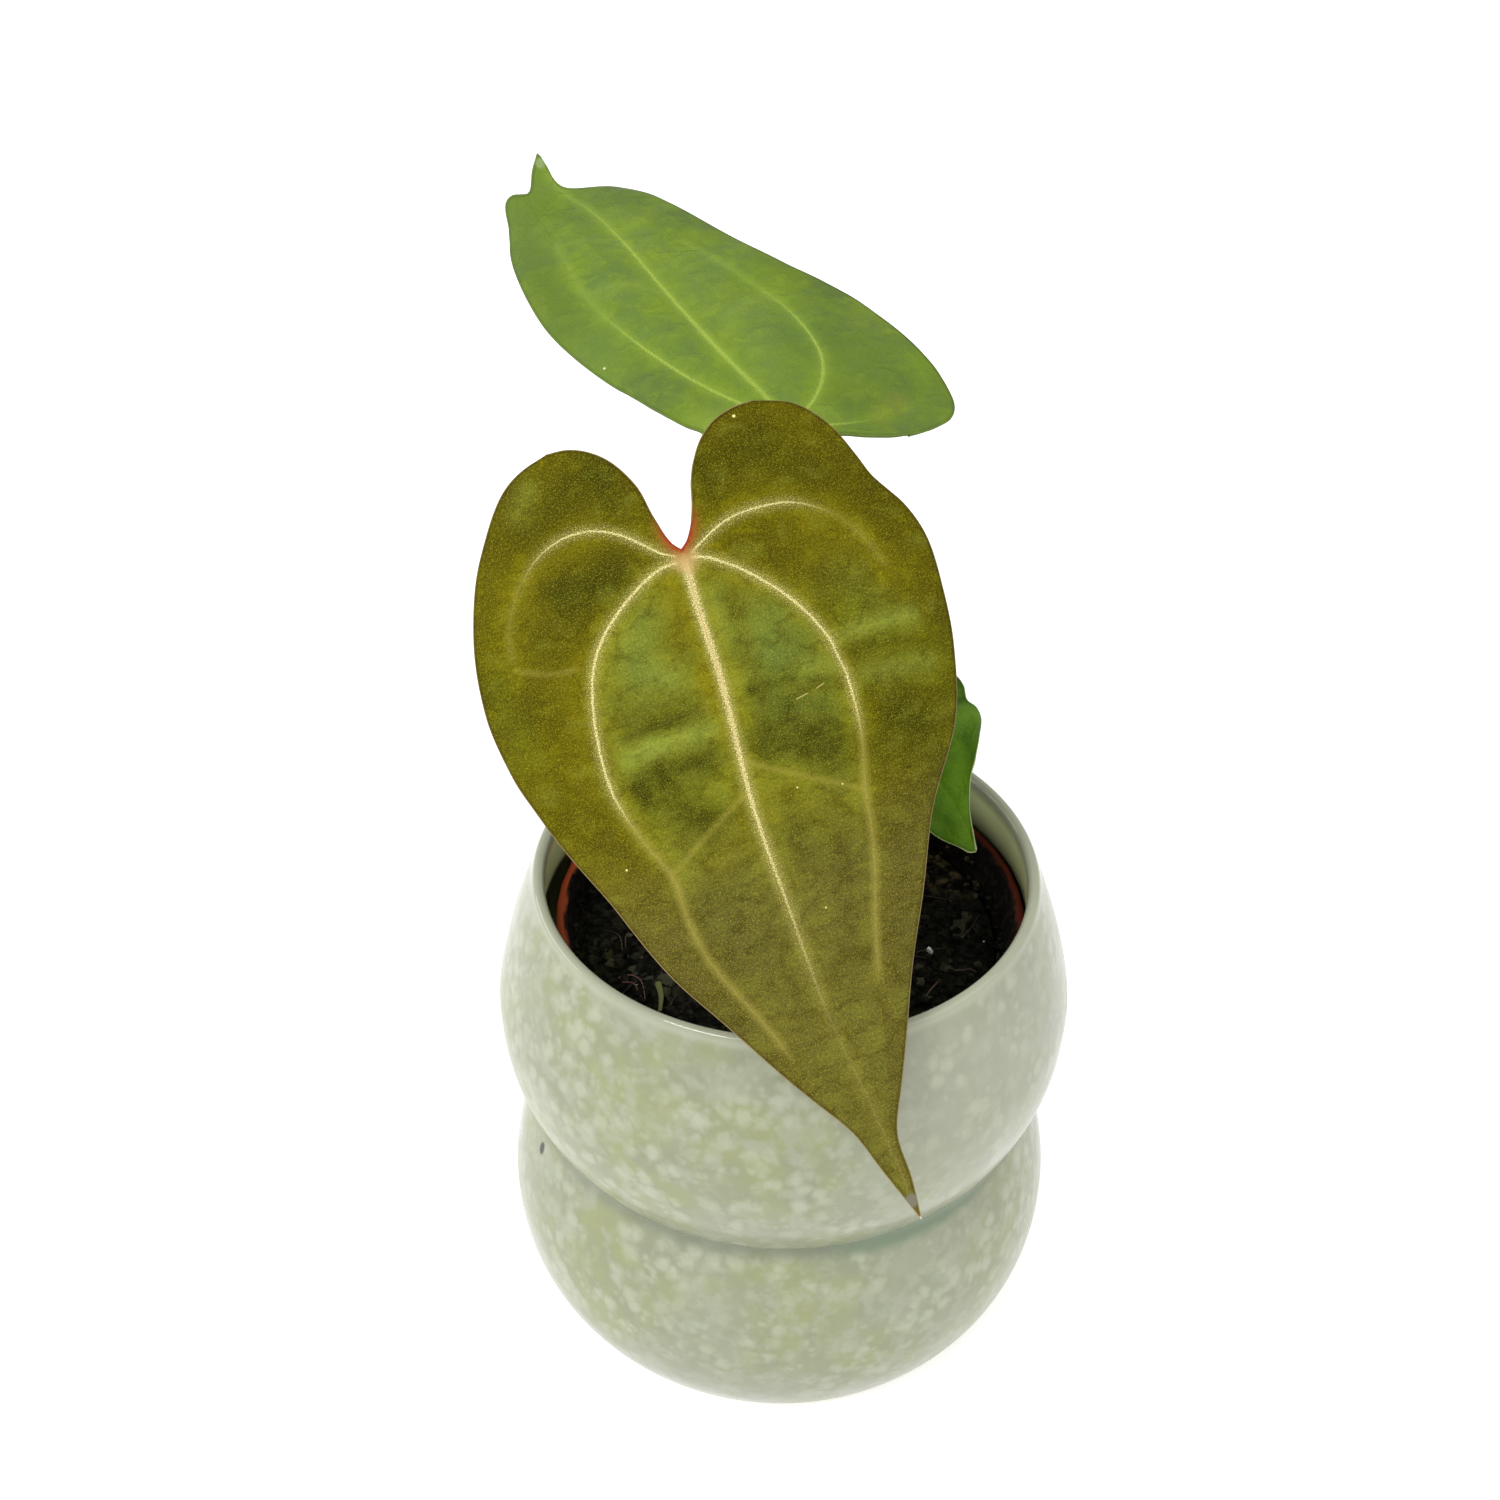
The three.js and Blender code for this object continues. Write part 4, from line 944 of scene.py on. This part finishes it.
# The narrow `pale` bars along the fold ridges are painted highlight, and the narrow `dim` bars along the fold
# hollows are painted shade.
front_patches = {
    "green": [(32, 22, 47, 38, 8, 0.55), (30, 46, 40, 58, 8, 0.2), (-51, 12, -50, 32, 4, 0.45),
        (-24, 44, -14, 58, 6, 0.4), (-16, 66, -14, 92, 5, 0.4), (8, 64, 9, 88, 4, 0.4)],
    "cool": [(14.5, 16.9, 11, 24, 6, 0.75), (-13, 9.4, -18, 17, 5.5, 0.6), (-12.3, 25, -18, 22, 4, 0.4),
        (34.4, 13.6, 39, 21, 6, 0.3), (9.6, 38.2, 18, 42, 5, 0.5), (-18, 76, -14, 88, 7, 0.35),
        (12, 30, 20, 26, 4, 0.4)],
    "dim": [(10, 38.6, 18, 43, 5, 0.5), (4, 46, 24, 53, 6, 0.85), (-36, 8, -37.6, -1.5, 5, 0.35),
        (-29, -2, -17, 0, 6, 0.85), (-13, -28, -30, -18, 5, 0.45), (-12, -24, -12, -13, 3.5, 0.6),
        (24.2, -20, 32, -9, 6, 0.5), (24.2, -22.6, 14, -18, 6, 0.35), (10.5, -22, 11, -12, 2.6, 0.35),
        (5.4, 12, 5.8, 34, 3, 0.45), (36, 44, 40, 64, 7, 0.5), (26, 70, 16, 104, 6, 0.45),
        (29, 31.4, 45, 32.4, 1.5, 0.55), (-25, 34.4, -8, 33.6, 1.9, 0.9), (-26, 45, -11.6, 45, 4, 0.8),
        (-24, 50, -13, 60, 6, 0.8), (4.2, 33, 13.8, 33, 1.2, 0.6), (18, 34.6, 26, 36, 1.4, 0.5),
        (-20, 78, -19, 106, 6, 0.65), (-10, 72, -12, 92, 6, 0.35), (5, 60, 5, 72, 3.5, 0.6),
        (12.7, 74, 8, 94, 5, 0.6), (4, 126, 6, 154, 5, 0.4), (35, 47, 39, 52, 4, 0.3),
        (-40, 18, -42, 23, 3, 0.3)],
    "warm": [(-34.4, 22.1, -38, 44, 4.5, 0.45), (-44, 57, -36, 74, 5, 0.4), (-4.5, 26, -5, 40, 3, 0.6),
        (-30, 13, -32.5, 15, 1.6, 0.6), (-3, 57, -14, 67, 4, 0.3), (30, 2, 44, 16, 7, 0.4),
        (-10, 104, -4, 124, 5, 0.3), (10, 84, 12, 104, 4, 0.3), (-6, 4, -8, 16, 4, 0.5),
        (-20, -11, -34, -9, 3, 0.5), (4, 2, 14, 12, 4, 0.35), (-4, 2, -3.4, 30, 2.4, 0.5),
        (-42, -7, -36, 0, 4, 0.5), (-10, 66, -16, 70, 4, 0.4), (-42, 14, -38, 18, 4, 0.3),
        (2, 56, 14, 66, 5, 0.35)],
    "pale": [(-26.9, 39.9, -20.5, 38.7, 2.5, 0.85), (-20.5, 38.7, -7.3, 38.6, 2.3, 0.75),
        (25.6, 27.5, 46.6, 26.8, 2.3, 0.7), (18.5, 31.8, 24.9, 33.4, 2.2, 0.6),
        (-12.3, 25, -17, 22, 2.4, 0.4), (3, 21, 2.4, 9, 2.2, 0.4), (-29, -28, -33, -24, 3, 0.3),
        (30, 36.6, 46, 38.6, 2.8, 0.5)]}

# %% [markdown]
# The blade is solidified downwards by its modifier, so the modelled sheet is the upper face. The
# modifier gives the lower shell the second material in the list, the dull one.

# %% Front leaf: finish and piece
front_tones = dict(
    deep=(76, 71, 0), main=(98, 92, 0), bright=(118, 112, 4), centre_deep=(106, 112, 30),
    centre=(142, 146, 38), quilt=(130, 136, 46), low=(98, 91, 42), green=(110, 117, 14), cool=(96, 118, 50),
    dim=(50, 56, 2), warm=(128, 118, 6), pale=(142, 156, 60), glow=(138, 130, 4), net=(46, 42, 0),
    sparkle=(200, 186, 60), shade=(30, 28, 0), vein_faint=(166, 154, 66), vein=(210, 194, 112),
    vein_bright=(254, 244, 184), thread=(196, 144, 104), hub=(204, 168, 108), flush=(160, 96, 44),
    flush_edge=(156, 50, 28), margin_dark=(58, 42, 4), rim=(196, 172, 128), gland=(128, 124, 104),
    speck=(246, 236, 150), point=(226, 220, 200))
# Main veins: width, where it is slim and how slim, where it starts and stops fading and what is left of
# it, then the share of the haze beside it and what is left of that. Widths in mm, places from 0 to 1.
front_vein = {
    "glow": 6.0, "glow_share": 0.5, "low": (50, 84, 0.78), "net": 0.42, "streak": 0.34, "grain": 0.56,
    "cross": 0.5, "cross_reach": 0.95, "haze_reach": 1.9, "fringe": 3.4, "fringe_share": 0.8, "thread": 0.5,
    "hub": 0.7, "flush": 0.95, "rim": 0.5, "rim_width": 0.26,
    "rib": (1.2, 0.55, 0.42, 0.36, 0.72, 0.06, 0.45, 0.25),
    "first": (0.46, 0.5, 0.4, 0.42, 0.54, 0.08, 0.32, 1.2),
    "lobe": (0.4, 0.9, 0.22, 0.4, 0.7, 0.05, 0.2, 0.8)}
front_spots = [(21.5, -28.1, 0.5, "speck"), (-35.1, 63.3, 0.34, "speck"), (7.3, 57.2, 0.26, "speck"),
               (17.6, 59.5, 0.26, "speck"), (5.3, 84.9, 0.26, "speck"), (5.9, 154.8, 2.2, "gland"),
               (7.0, 159.6, 0.9, "point")]
front_scratches = [((13.2, 38.2), (16.5, 37.6)), ((18.5, 37.2), (20.9, 36.5))]
front_top = blade_finish("leaf_bronze_upper", 0.8, front_tones, front_vein, 0.6, 0.03,
                         front_spots, front_scratches)
front_under = under_finish("leaf_bronze_lower", (140, 120, 66), (120, 96, 50), (176, 156, 96))
BLADE_THICKNESS = 0.7


def add_thickness(piece):
    """A thin shell under the modelled face; its lower side takes the second material."""
    shell = piece.modifiers.new("thickness", "SOLIDIFY")
    shell.thickness = BLADE_THICKNESS * MM
    shell.offset = -1
    shell.material_offset = 1
    shell.material_offset_rim = 0


leaf_front = finish_piece("front_blade", blade_mesh(front, 216, 62, 1.2, front_patches), "leaf_front",
                          [front_top, front_under], 180)
add_thickness(leaf_front)

# %% [markdown]
# ## The back leaf
# A younger, greener blade held nearly level behind the first, with a drip tip that curls up. Its
# veins are yellow-green and soft, and a greyish bloom lies on its far end.

# %% Back leaf drawing, finish and piece
back = Blade(
    joint=(-0.8, 50, 233.6), heading=209,
    fall=[[-40, -12], [0, -12], [50, -9], [80, -7], [100, -4], [112, 0], [118, -10], [126, -55],
        [140, -70]],
    roll=-8, twist=0, curl=(0.005, 0.011), wave=(0.5, 4, 1.3), lobe_share=0.14, notch=[[0, -2.2]],
    midrib=[[0.3, 10.4], [2.3, 32.8], [3.2, 60], [2.8, 90], [3.4, 110], [6.6, 124], [8.9, 132.1]],
    left={"inner": [[-24, -16.2], [-18, -14.3], [-11.6, -10.4], [-5.5, -6.4], [-2, -3.6]], "outer":
        [[-24, -16.2], [-29, -16.2], [-33.7, -15.1], [-38.4, -13.3], [-41.7, -9.7], [-43.7, -5],
        [-45.2, 4.7], [-45, 11], [-44.2, 19.6], [-42.9, 29.4], [-40.9, 39], [-36.5, 47.9], [-31.3, 56.6],
        [-29.2, 61.6], [-26.1, 70.6], [-23.1, 80.1], [-19.8, 89.5], [-16.4, 98.8], [-13.2, 108.3],
        [-8, 116.9], [4.6, 121.9], [7.2, 127.6], [8.9, 132.1]]},
    right={"inner": [[13, -15.5], [8.5, -13.2], [5, -9.6], [2.4, -5.4]], "outer": [[13, -15.5], [18.5, -15],
        [22.4, -10.5], [23.3, -5], [22, 0.5], [19.8, 6], [19.4, 10], [21.6, 14], [24.1, 20.4], [25.8, 25.3],
        [28.4, 34.6], [30, 39.5], [33.6, 56.1], [34.7, 72], [32.8, 90.9], [28.8, 106.7], [23.4, 118.6],
        [21.2, 122.9], [18.6, 123.9], [14.2, 123.2], [11.6, 127.3], [8.9, 132.1]]},
    first={"left": [[-0.8, 1], [-7, 3.6], [-15, 11], [-20, 21], [-21.4, 38], [-17.2, 57], [-10, 82]],
        "right": [[0.8, 2], [7.4, 13.9], [13.6, 29.1], [19.6, 56], [21, 74], [17.2, 103]]},
    lobe={"left": [[-0.8, -0.8], [-5, -3], [-17.4, -6.9], [-29, -7.4], [-38, -2], [-40.5, 12]], "right":
        [[0.8, -0.6], [4, -1], [11, -3], [16.5, 1], [18, 10], [21, 20]]},
    cross=[[[3, 60], [12, 70], [20, 74]], [[2.4, 33], [-8, 44], [-19.6, 48]], [[3, 84], [10, 94],
        [18, 98]]],
    folds=[(-12, 70, -24, 60, 5, 0.5), (10, 60, 14, 74, 5, 0.5)])
# The wide `pale` patch next to the joint is painted light, laid where the front leaf's shadow falls.
back_patches = {
    "cool": [(28, 69, 26, 50, 8, 0.6), (-9.5, 68.6, -16, 66, 8, 0.5), (-16.3, 37.1, -10, 30, 7, 0.45),
        (-31.4, 10.2, -24, 18, 9, 0.45), (26, 100, 22, 108, 8, 0.5)],
    "dim": [(-2.6, 105.7, -10, 104, 5, 0.35), (-36, 40, -28, 60, 5, 0.3), (8, 108, 14, 118, 6, 0.35),
        (30, 68, 26, 112, 8, 0.4), (-38, 0, -22, 24, 12, 0.45), (-20, -6, -14, 6, 6, 0.35)],
    "green": [], "warm": [(-28.7, -4.2, -21.4, -6.9, 3, 0.45)],
    "pale": [(-20, 48, -8, 44, 3, 0.4), (8, 66, 18, 72, 3, 0.35), (-5, 0, 18, 12, 5, 0.8),
        (-5, 20, 0, 100, 7, 0.25)]}
back_tones = dict(
    deep=(102, 126, 58), main=(124, 149, 42), bright=(137, 160, 57), cool=(112, 140, 68), dim=(86, 110, 30),
    warm=(150, 150, 54), pale=(146, 170, 68), centre_deep=(108, 134, 60), centre=(128, 154, 40),
    green=(110, 138, 44), glow=(130, 160, 40), net=(96, 124, 40), sparkle=(158, 178, 96),
    shade=(84, 110, 32), vein_faint=(150, 176, 70), vein=(160, 184, 66), vein_bright=(180, 202, 92),
    thread=(190, 206, 100), quilt=(136, 162, 54), low=(114, 139, 68), hub=(176, 190, 84),
    flush=(160, 120, 60), flush_edge=(150, 110, 60), margin_dark=(74, 96, 36), rim=(120, 138, 70),
    gland=(152, 174, 112), speck=(236, 240, 200))
back_vein = {
    "glow": 7.0, "glow_share": 0.4, "low": (70, 120, 0.3), "net": 0.3, "streak": 0.2, "grain": 0.24,
    "cross": 0.15, "cross_reach": 1.5, "haze_reach": 2.8, "fringe": 2.6, "fringe_share": 0.4, "thread": 0.0,
    "hub": 0.6, "flush": 0.5, "rim": 0.5, "rim_width": 0.32,
    "rib": (0.85, 0.9, 0.45, 0.55, 0.95, 0.15, 0.4, 1.0), "first": (0.6, 0.9, 0.4, 0.4, 0.7, 0.1, 0.3, 1.0),
    "lobe": (0.5, 0.9, 0.3, 0.1, 0.4, 0.0, 0.14, 0.3)}
back_spots = [(29, 46.3, 0.45, "speck"), (8.7, 129.4, 1.8, "gland")]
back_top = blade_finish("leaf_green_upper", 0.75, back_tones, back_vein, 0.5, 0.08, back_spots)
back_under = under_finish("leaf_green_lower", (136, 156, 92), (118, 140, 76), (168, 184, 120))
leaf_back = finish_piece("back_blade", blade_mesh(back, 170, 48, 1.1, back_patches), "leaf_back",
                         [back_top, back_under], 180)
add_thickness(leaf_back)

# %% [markdown]
# ## The small side leaf
# The newest blade is bright and glossy, and still cupped.

# %% Side leaf drawing, finish and piece
side = Blade(
    joint=(31.6, 31.8, 150), heading=45, fall=[[-30, 20], [0, 26], [45, 42]], roll=15, twist=0,
    curl=(0.01, 0.01), wave=(0.7, 3, 2.1), lobe_share=0.25, notch=[[0, -1.6]],
    midrib=[[0, 8], [-0.5, 18], [-1.6, 27], [-2.9, 33]],
    left={"inner": [[-11, -12], [-6.5, -10.4], [-3.2, -6.6], [-1.2, -3]], "outer": [[-11, -12],
        [-17.2, -7.5], [-18.6, 1], [-16.4, 10], [-11, 19.8], [-8.9, 24.8], [-6.1, 29.8], [-4.6, 32.2],
        [-2.9, 33]]},
    right={"inner": [[18, -14.5], [11, -12.8], [5.5, -8.4], [1.8, -3.6]], "outer": [[18, -14.5],
        [24, -12.6], [26.2, -8.6], [25.4, -5.2], [22.4, -0.9], [23.3, 1.8], [22.6, 5], [18.4, 8.9],
        [13.3, 12.5], [8.5, 16], [4, 21.3], [0.3, 26.8], [-1.7, 30.6], [-2.9, 33]]},
    first={"left": [[-0.5, 0.4], [-3, 1.5], [-9, 7], [-10, 15], [-6, 24]], "right": [[0.5, 0.3], [3, 1],
        [11, 3], [10.5, 10], [4, 17]]},
    lobe={"left": [[-0.5, -0.5], [-5, -4], [-11, -3.4], [-14, 4]], "right": [[0.6, -0.6], [8, -5.4],
        [16, -6.6], [20, -5]]},
    cross=[[[-0.5, 18], [-5, 20], [-7, 22]]],
    folds=[(21, 2.5, 13, -0.5, 2.6, 0.9), (23, -2, 14, -5, 1.8, -0.8)])
# The `pale` patches are painted highlights, on the fold ridge and across the lit middle; the narrow `dim`
# patch by the fold is painted shade in its hollow.
side_patches = {
    "green": [], "cool": [(14, 2, 20, 0, 3, 0.5)],
    "dim": [(26, -8, 22, -11, 4, 0.95), (22.6, -1, 14, -4.5, 1.4, 0.7), (-8, 20, -4, 26, 4, 0.3)],
    "warm": [(-12, 4, -10, 8, 4, 0.2)],
    "pale": [(21, 2.5, 14, 0, 3.2, 0.6), (8, 13, 2, 20, 3, 0.4), (2, 24, -2, 28, 3, 0.5)]}
side_tones = dict(
    deep=(56, 92, 0), main=(70, 108, 0), bright=(84, 122, 6), cool=(96, 128, 60), green=(66, 104, 0),
    dim=(26, 52, 0), warm=(110, 120, 20), centre_deep=(60, 96, 0), centre=(74, 112, 0), pale=(98, 134, 14),
    glow=(80, 120, 4), net=(54, 86, 0), sparkle=(120, 150, 40), shade=(40, 68, 0), vein_faint=(96, 130, 24),
    vein=(100, 134, 30), vein_bright=(116, 148, 46), thread=(156, 182, 92), hub=(140, 160, 80),
    flush=(130, 110, 50), flush_edge=(120, 100, 50), quilt=(80, 116, 6), low=(72, 112, 0),
    margin_dark=(40, 66, 0), rim=(206, 212, 156))
side_vein = {
    "glow": 3.0, "glow_share": 0.25, "low": (14, 30, 0.3), "net": 0.25, "streak": 0.15, "grain": 0.25,
    "cross": 0.15, "cross_reach": 1.5, "haze_reach": 2.8, "fringe": 1.6, "fringe_share": 0.3, "thread": 0.0,
    "hub": 0.5, "flush": 0.4, "rim": 0.6, "rim_width": 0.32,
    "rib": (0.4, 0.9, 0.2, 0.3, 0.6, 0.2, 0.1, 1.0), "first": (0.3, 0.9, 0.2, 0.3, 0.6, 0.15, 0.1, 1.0),
    "lobe": (0.3, 0.9, 0.2, 0.3, 0.6, 0.1, 0.1, 1.0)}
side_top = blade_finish("leaf_young_upper", 1.06, side_tones, side_vein, 0.42, 0.1, [])
side_under = under_finish("leaf_young_lower", (104, 130, 56), (86, 112, 42), (140, 164, 90))
leaf_side = finish_piece("side_blade", blade_mesh(side, 100, 34, 1.1, side_patches), "leaf_side",
                         [side_top, side_under], 180)
add_thickness(leaf_side)

# %% [markdown]
# ## Stems
# Each blade hangs from one stem: sheathed and thicker at the foot, slim along its length, and swollen
# into a knee just under the blade, which turns the blade to the light. The stems follow the same lines
# as the CAD rods. Fine grooves run along them, with pale flecks, and the foot is flushed brown.

# %% Stem finish


def stem_finish(name, green, brown, fleck):
    """Grooved stem: colour changes from foot to knee, with lengthwise streaks and small flecks."""
    stem = Finish(name, roughness=0.42, specular=0.4)
    uv = stem.uv()
    streaks = stem.noise(stem.scaled(uv, (26, 2.2, 1)), 1.0, 3)
    length = stem.split(uv)[1]
    stem.colour = stem.mix(stem.fade(streaks, 0.35, 0.65), green, brown)
    stem.paint(stem.fade(length, 0.2, 0.02, 0, 0.8), brown)
    stem.paint(stem.fade(length, 0.9, 0.96, 0, 0.5), fleck)
    flecks = stem.fade(stem.cells(stem.scaled(uv, (14, 60, 1)), 1.0), 0.22, 0.1, 0, 0.6)
    stem.paint(flecks, fleck)
    return stem.done(stem.bump(stem.plus(streaks, stem.times(flecks, 0.3)), 0.0003, 0.7))


stem_bronze = stem_finish("stem_bronze", (112, 104, 48), (98, 66, 40), (160, 142, 84))
stem_green = stem_finish("stem_green", (104, 128, 52), (96, 92, 44), (150, 168, 96))

# %% Stem rods


def stem_line(leaf, base, bends):
    """The stem's line in mm, from inside the crown up to the underside of its blade."""
    under = [leaf.place(0, 0.6, -BLADE_THICKNESS - d)[0].tolist() for d in (9, 0.45)]
    return smooth_line([[base[0], base[1], 113.6]] + bends + under, 90)


def stem_radius(base, slim, knee):
    """Thickness along a stem: stout foot, slim length and a knee near the end."""
    return lambda t: (slim + (base - slim) * math.exp(-((t / 0.07) ** 2))
                      + (knee - slim) * math.exp(-(((t - 0.955) / 0.05) ** 2)))


def add_stem(name, node, material, leaf, base, bends, radii):
    """One stem; radii in mm: foot, slim length and knee."""
    bm = bmesh.new()
    rolled_rod(bm, stem_line(leaf, base, bends), stem_radius(*radii), 28)
    finish_piece(name, bm, node, [material], 60)


add_stem("front_stem", "stem_front", stem_bronze, front, (-3.3, -2.6),
         [[-6.2, -2.6, 135], [-12, 1.2, 170], [-19, 7.2, 203]], (2.3, 1.55, 2))
add_stem("back_stem", "stem_back", stem_green, back, (-0.2, 4),
         [[0.6, 8.4, 135], [1.6, 20.5, 172], [1.2, 36, 205]], (2.3, 1.45, 1.9))
add_stem("side_stem", "stem_side", stem_green, side, (4.1, -0.8),
         [[7.8, 3.6, 122.5], [15.5, 13.5, 131.5], [24.5, 26.5, 138]], (1.9, 1.1, 1.4))

# %% [markdown]
# ## Ribs under the blades
# On the lower face the main veins are round ribs that thin out towards the margin. Each is a rod laid
# along the same vein line, half sunk in the blade.

# %% Ribs on the lower faces


def add_ribs(name, leaf, node, material, thick):
    """Midrib, laterals and lobe veins as rods along the lower face; thick: the midrib's radius in mm."""
    bm = bmesh.new()
    sheet = np.vstack(leaf.sheet)
    lines = [(smooth_line(leaf.notch + leaf.midrib, 70)[1:-4], thick)]
    for group, share in ((leaf.first, 0.62), (leaf.lobe, 0.5)):
        for half in ("left", "right"):
            line = smooth_line(group[half], 60)
            lines.append((line[:50], thick * share))
    for line, radius in lines:
        nearest = [np.argmin(np.hypot(*(sheet[:, :2] - place).T)) for place in line]
        spots = leaf.place(line[:, 0], line[:, 1], sheet[nearest, 2] - BLADE_THICKNESS - 0.15 * radius)
        rolled_rod(bm, spots, lambda t, r=radius: r * (1 - 0.8 * t), 10, flat=0.75)
    finish_piece(name, bm, node, [material], 60)


rib_bronze = stem_finish("rib_bronze", (168, 146, 88), (150, 118, 70), (186, 168, 112))
rib_green = stem_finish("rib_green", (160, 178, 104), (146, 164, 90), (180, 194, 124))
add_ribs("front_ribs", front, "leaf_front", rib_bronze, 0.6)
add_ribs("back_ribs", back, "leaf_back", rib_green, 0.55)
add_ribs("side_ribs", side, "leaf_side", rib_green, 0.35)

# %% [markdown]
# ## Crown, roots and dry sheaths
# The short thick stem at the surface is the crown, ringed by old leaf scars. Stubby roots reach
# over the mix and dive into it. Two papery sheaths are all that is left of older leaves.

# %% Corky and papery finishes
cork = Finish("crown_cork", roughness=0.7, specular=0.25)
at = cork.coords()
rings = cork.noise(cork.scaled(at, (60, 60, 420)), 1.0, 4, 0.6)
cork.colour = cork.mix(cork.fade(rings, 0.35, 0.65), (74, 56, 34), (116, 96, 58))
cork.paint(cork.fade(cork.noise(at, 240, 4), 0.5, 0.75, 0, 0.7), (92, 98, 46))
crown_cork = cork.done(cork.bump(cork.noise(at, 500, 4, 0.7), 0.0006, 0.8))

husk = Finish("dry_sheath", roughness=0.7, specular=0.25)
uv = husk.uv()
fibres = husk.noise(husk.scaled(uv, (22, 1.4, 1)), 1.0, 4, 0.6)
husk.colour = husk.mix(husk.fade(fibres, 0.3, 0.7), (134, 104, 66), (186, 158, 112))
husk.paint(husk.fade(husk.split(uv)[1], 0.75, 1, 0, 0.7), (96, 70, 44))
dry_paper = husk.done(husk.bump(fibres, 0.0004, 0.8))

# %% Crown with its roots, and the two sheaths
CROWN_RADIUS = 6.5
crown_rings = [[-2.5, 98], [-0.4, 103], [0.7, 106], [-0.2, 110], [0.9, 113.5], [0.3, 117], [-1.6, 118.6]]
crown_outline = smooth_line([[CROWN_RADIUS + out, z] for out, z in crown_rings], 40).tolist()
crown_mesh = spin_outline([[0, 98]] + crown_outline + [[0, 119]], 64)
for vert in crown_mesh.verts:
    x, y, z = vert.co / MM
    knob = noise.noise(Vector((x / 3.2, y / 3.2, z / 2.2))) * min(1, math.hypot(x, y) / 3)
    vert.co += Vector((x, y, 0)).normalized() * 0.3 * knob * MM
ROOTS = [[[-4, 1, 114.5], [-9, 4, 114.6], [-14, 8.5, 112.6], [-18, 13, 107.5]],
         [[3, 4, 114], [7, 9, 114.2], [9, 14, 111.6], [10, 17, 107]],
         [[3, -3, 114.2], [9, -6, 113.8], [14, -8.5, 111.2], [17, -10, 106.5]]]
for root in ROOTS:
    rolled_rod(crown_mesh, smooth_line(root, 36), lambda t: 1.7 - 0.6 * t, 20)
finish_piece("crown_and_roots", crown_mesh, "crown", [crown_cork], 60)


def add_sheath(name, node, line):
    """A narrow papery blade, boat-shaped across, pointed at both ends."""
    bm = bmesh.new()
    rolled_rod(bm, smooth_line(line, 40), lambda t: 2.6 * (1 - (2 * t - 1) ** 2) ** 0.8 + 0.25, 24, flat=0.2)
    finish_piece(name, bm, node, [dry_paper], 60)


add_sheath("left_sheath", "sheath_left",
           [[-6.6, 2.2, 113.4], [-8.4, 3, 122], [-8.8, 3.4, 131], [-8.2, 3.4, 139]])
add_sheath("right_sheath", "sheath_right",
           [[3.6, -5.6, 113.4], [4.8, -7.4, 120], [5, -8.2, 127], [4.2, -8, 133]])

# %% [markdown]
# ## Fibres and fine roots on the mix
# Coconut fibres, a few live rootlets and a scrap of straw lie on the surface.

# %% Fibres
fibre = Finish("old_fibres", roughness=0.6, specular=0.35)
at = fibre.coords()
tint = fibre.attribute("tint")
fibre.colour = fibre.mix(fibre.fade(fibre.noise(at, 60, 2), 0.4, 0.6), (34, 24, 18), (60, 48, 36))
fibre.paint(fibre.fade(tint, 0.3, 0.5), (98, 68, 56))
fibre.paint(fibre.fade(tint, 0.8, 1.0), (84, 88, 42))
fibre_brown = fibre.done(fibre.bump(fibre.noise(at, 900, 2), 0.0002, 0.6))
fibre_mesh = bmesh.new()
tint_layer = fibre_mesh.verts.layers.float.new("tint")


def add_fibre(places, thick, tint, flat=1.0, steps=12):
    """A fibre through places [x, y, height over the mix] in mm."""
    line = [[x, y, mix_height(x, y) + over] for x, y, over in places]
    for vert in rolled_rod(fibre_mesh, smooth_line(line, steps), lambda t: thick * (1 - 0.5 * t), 6, flat):
        vert[tint_layer] = tint


for _ in range(54):
    x, y = any_place(47, 0.03)
    heading = rng.uniform(0, 2 * math.pi)
    bend_rate = rng.uniform(-0.35, 0.35)
    places = []
    for k in range(6):
        if math.hypot(x, y) > 51.5:
            break
        places.append([x, y, 0.5 + 0.9 * math.sin(math.pi * k / 5)])
        heading += bend_rate
        x, y = x + 1.9 * math.cos(heading), y + 1.9 * math.sin(heading)
    if len(places) > 3:
        add_fibre(places, rng.uniform(0.12, 0.26), 0.35 if rng.uniform() < 0.2 else 0)
add_fibre([[-42, -17.5, 1], [-39, -17.6, 1.8], [-36.2, -20, 1.8], [-34.9, -25, 0.9]], 0.22, 0.6, steps=20)
add_fibre([[-41, -19.5, 1], [-38, -20.6, 1.5], [-36, -24.2, 0.8]], 0.18, 0.6, steps=16)
add_fibre([[-32, -19.6, 1.1], [-31, -24.6, 1.9], [-31, -30.2, 1]], 0.85, 1.0, flat=0.35, steps=20)
add_fibre([[38.6, -17.6, 0.9], [36.8, -21.4, 1.7], [34.6, -24.4, 0.9]], 0.24, 0.45, steps=16)
add_fibre([[46, -1, 1], [49, 3, 1.6], [51, 8, 0.9]], 0.24, 0.1, steps=16)
finish_piece("mix_fibres", fibre_mesh, "potting_mix", [fibre_brown], 60)

# %% [markdown]
# ## Size
# The visual model should stay inside the CAD box. Only a leaf margin passes it, by a fraction of a
# millimetre.

# %% Update the scene
bpy.context.view_layer.update()
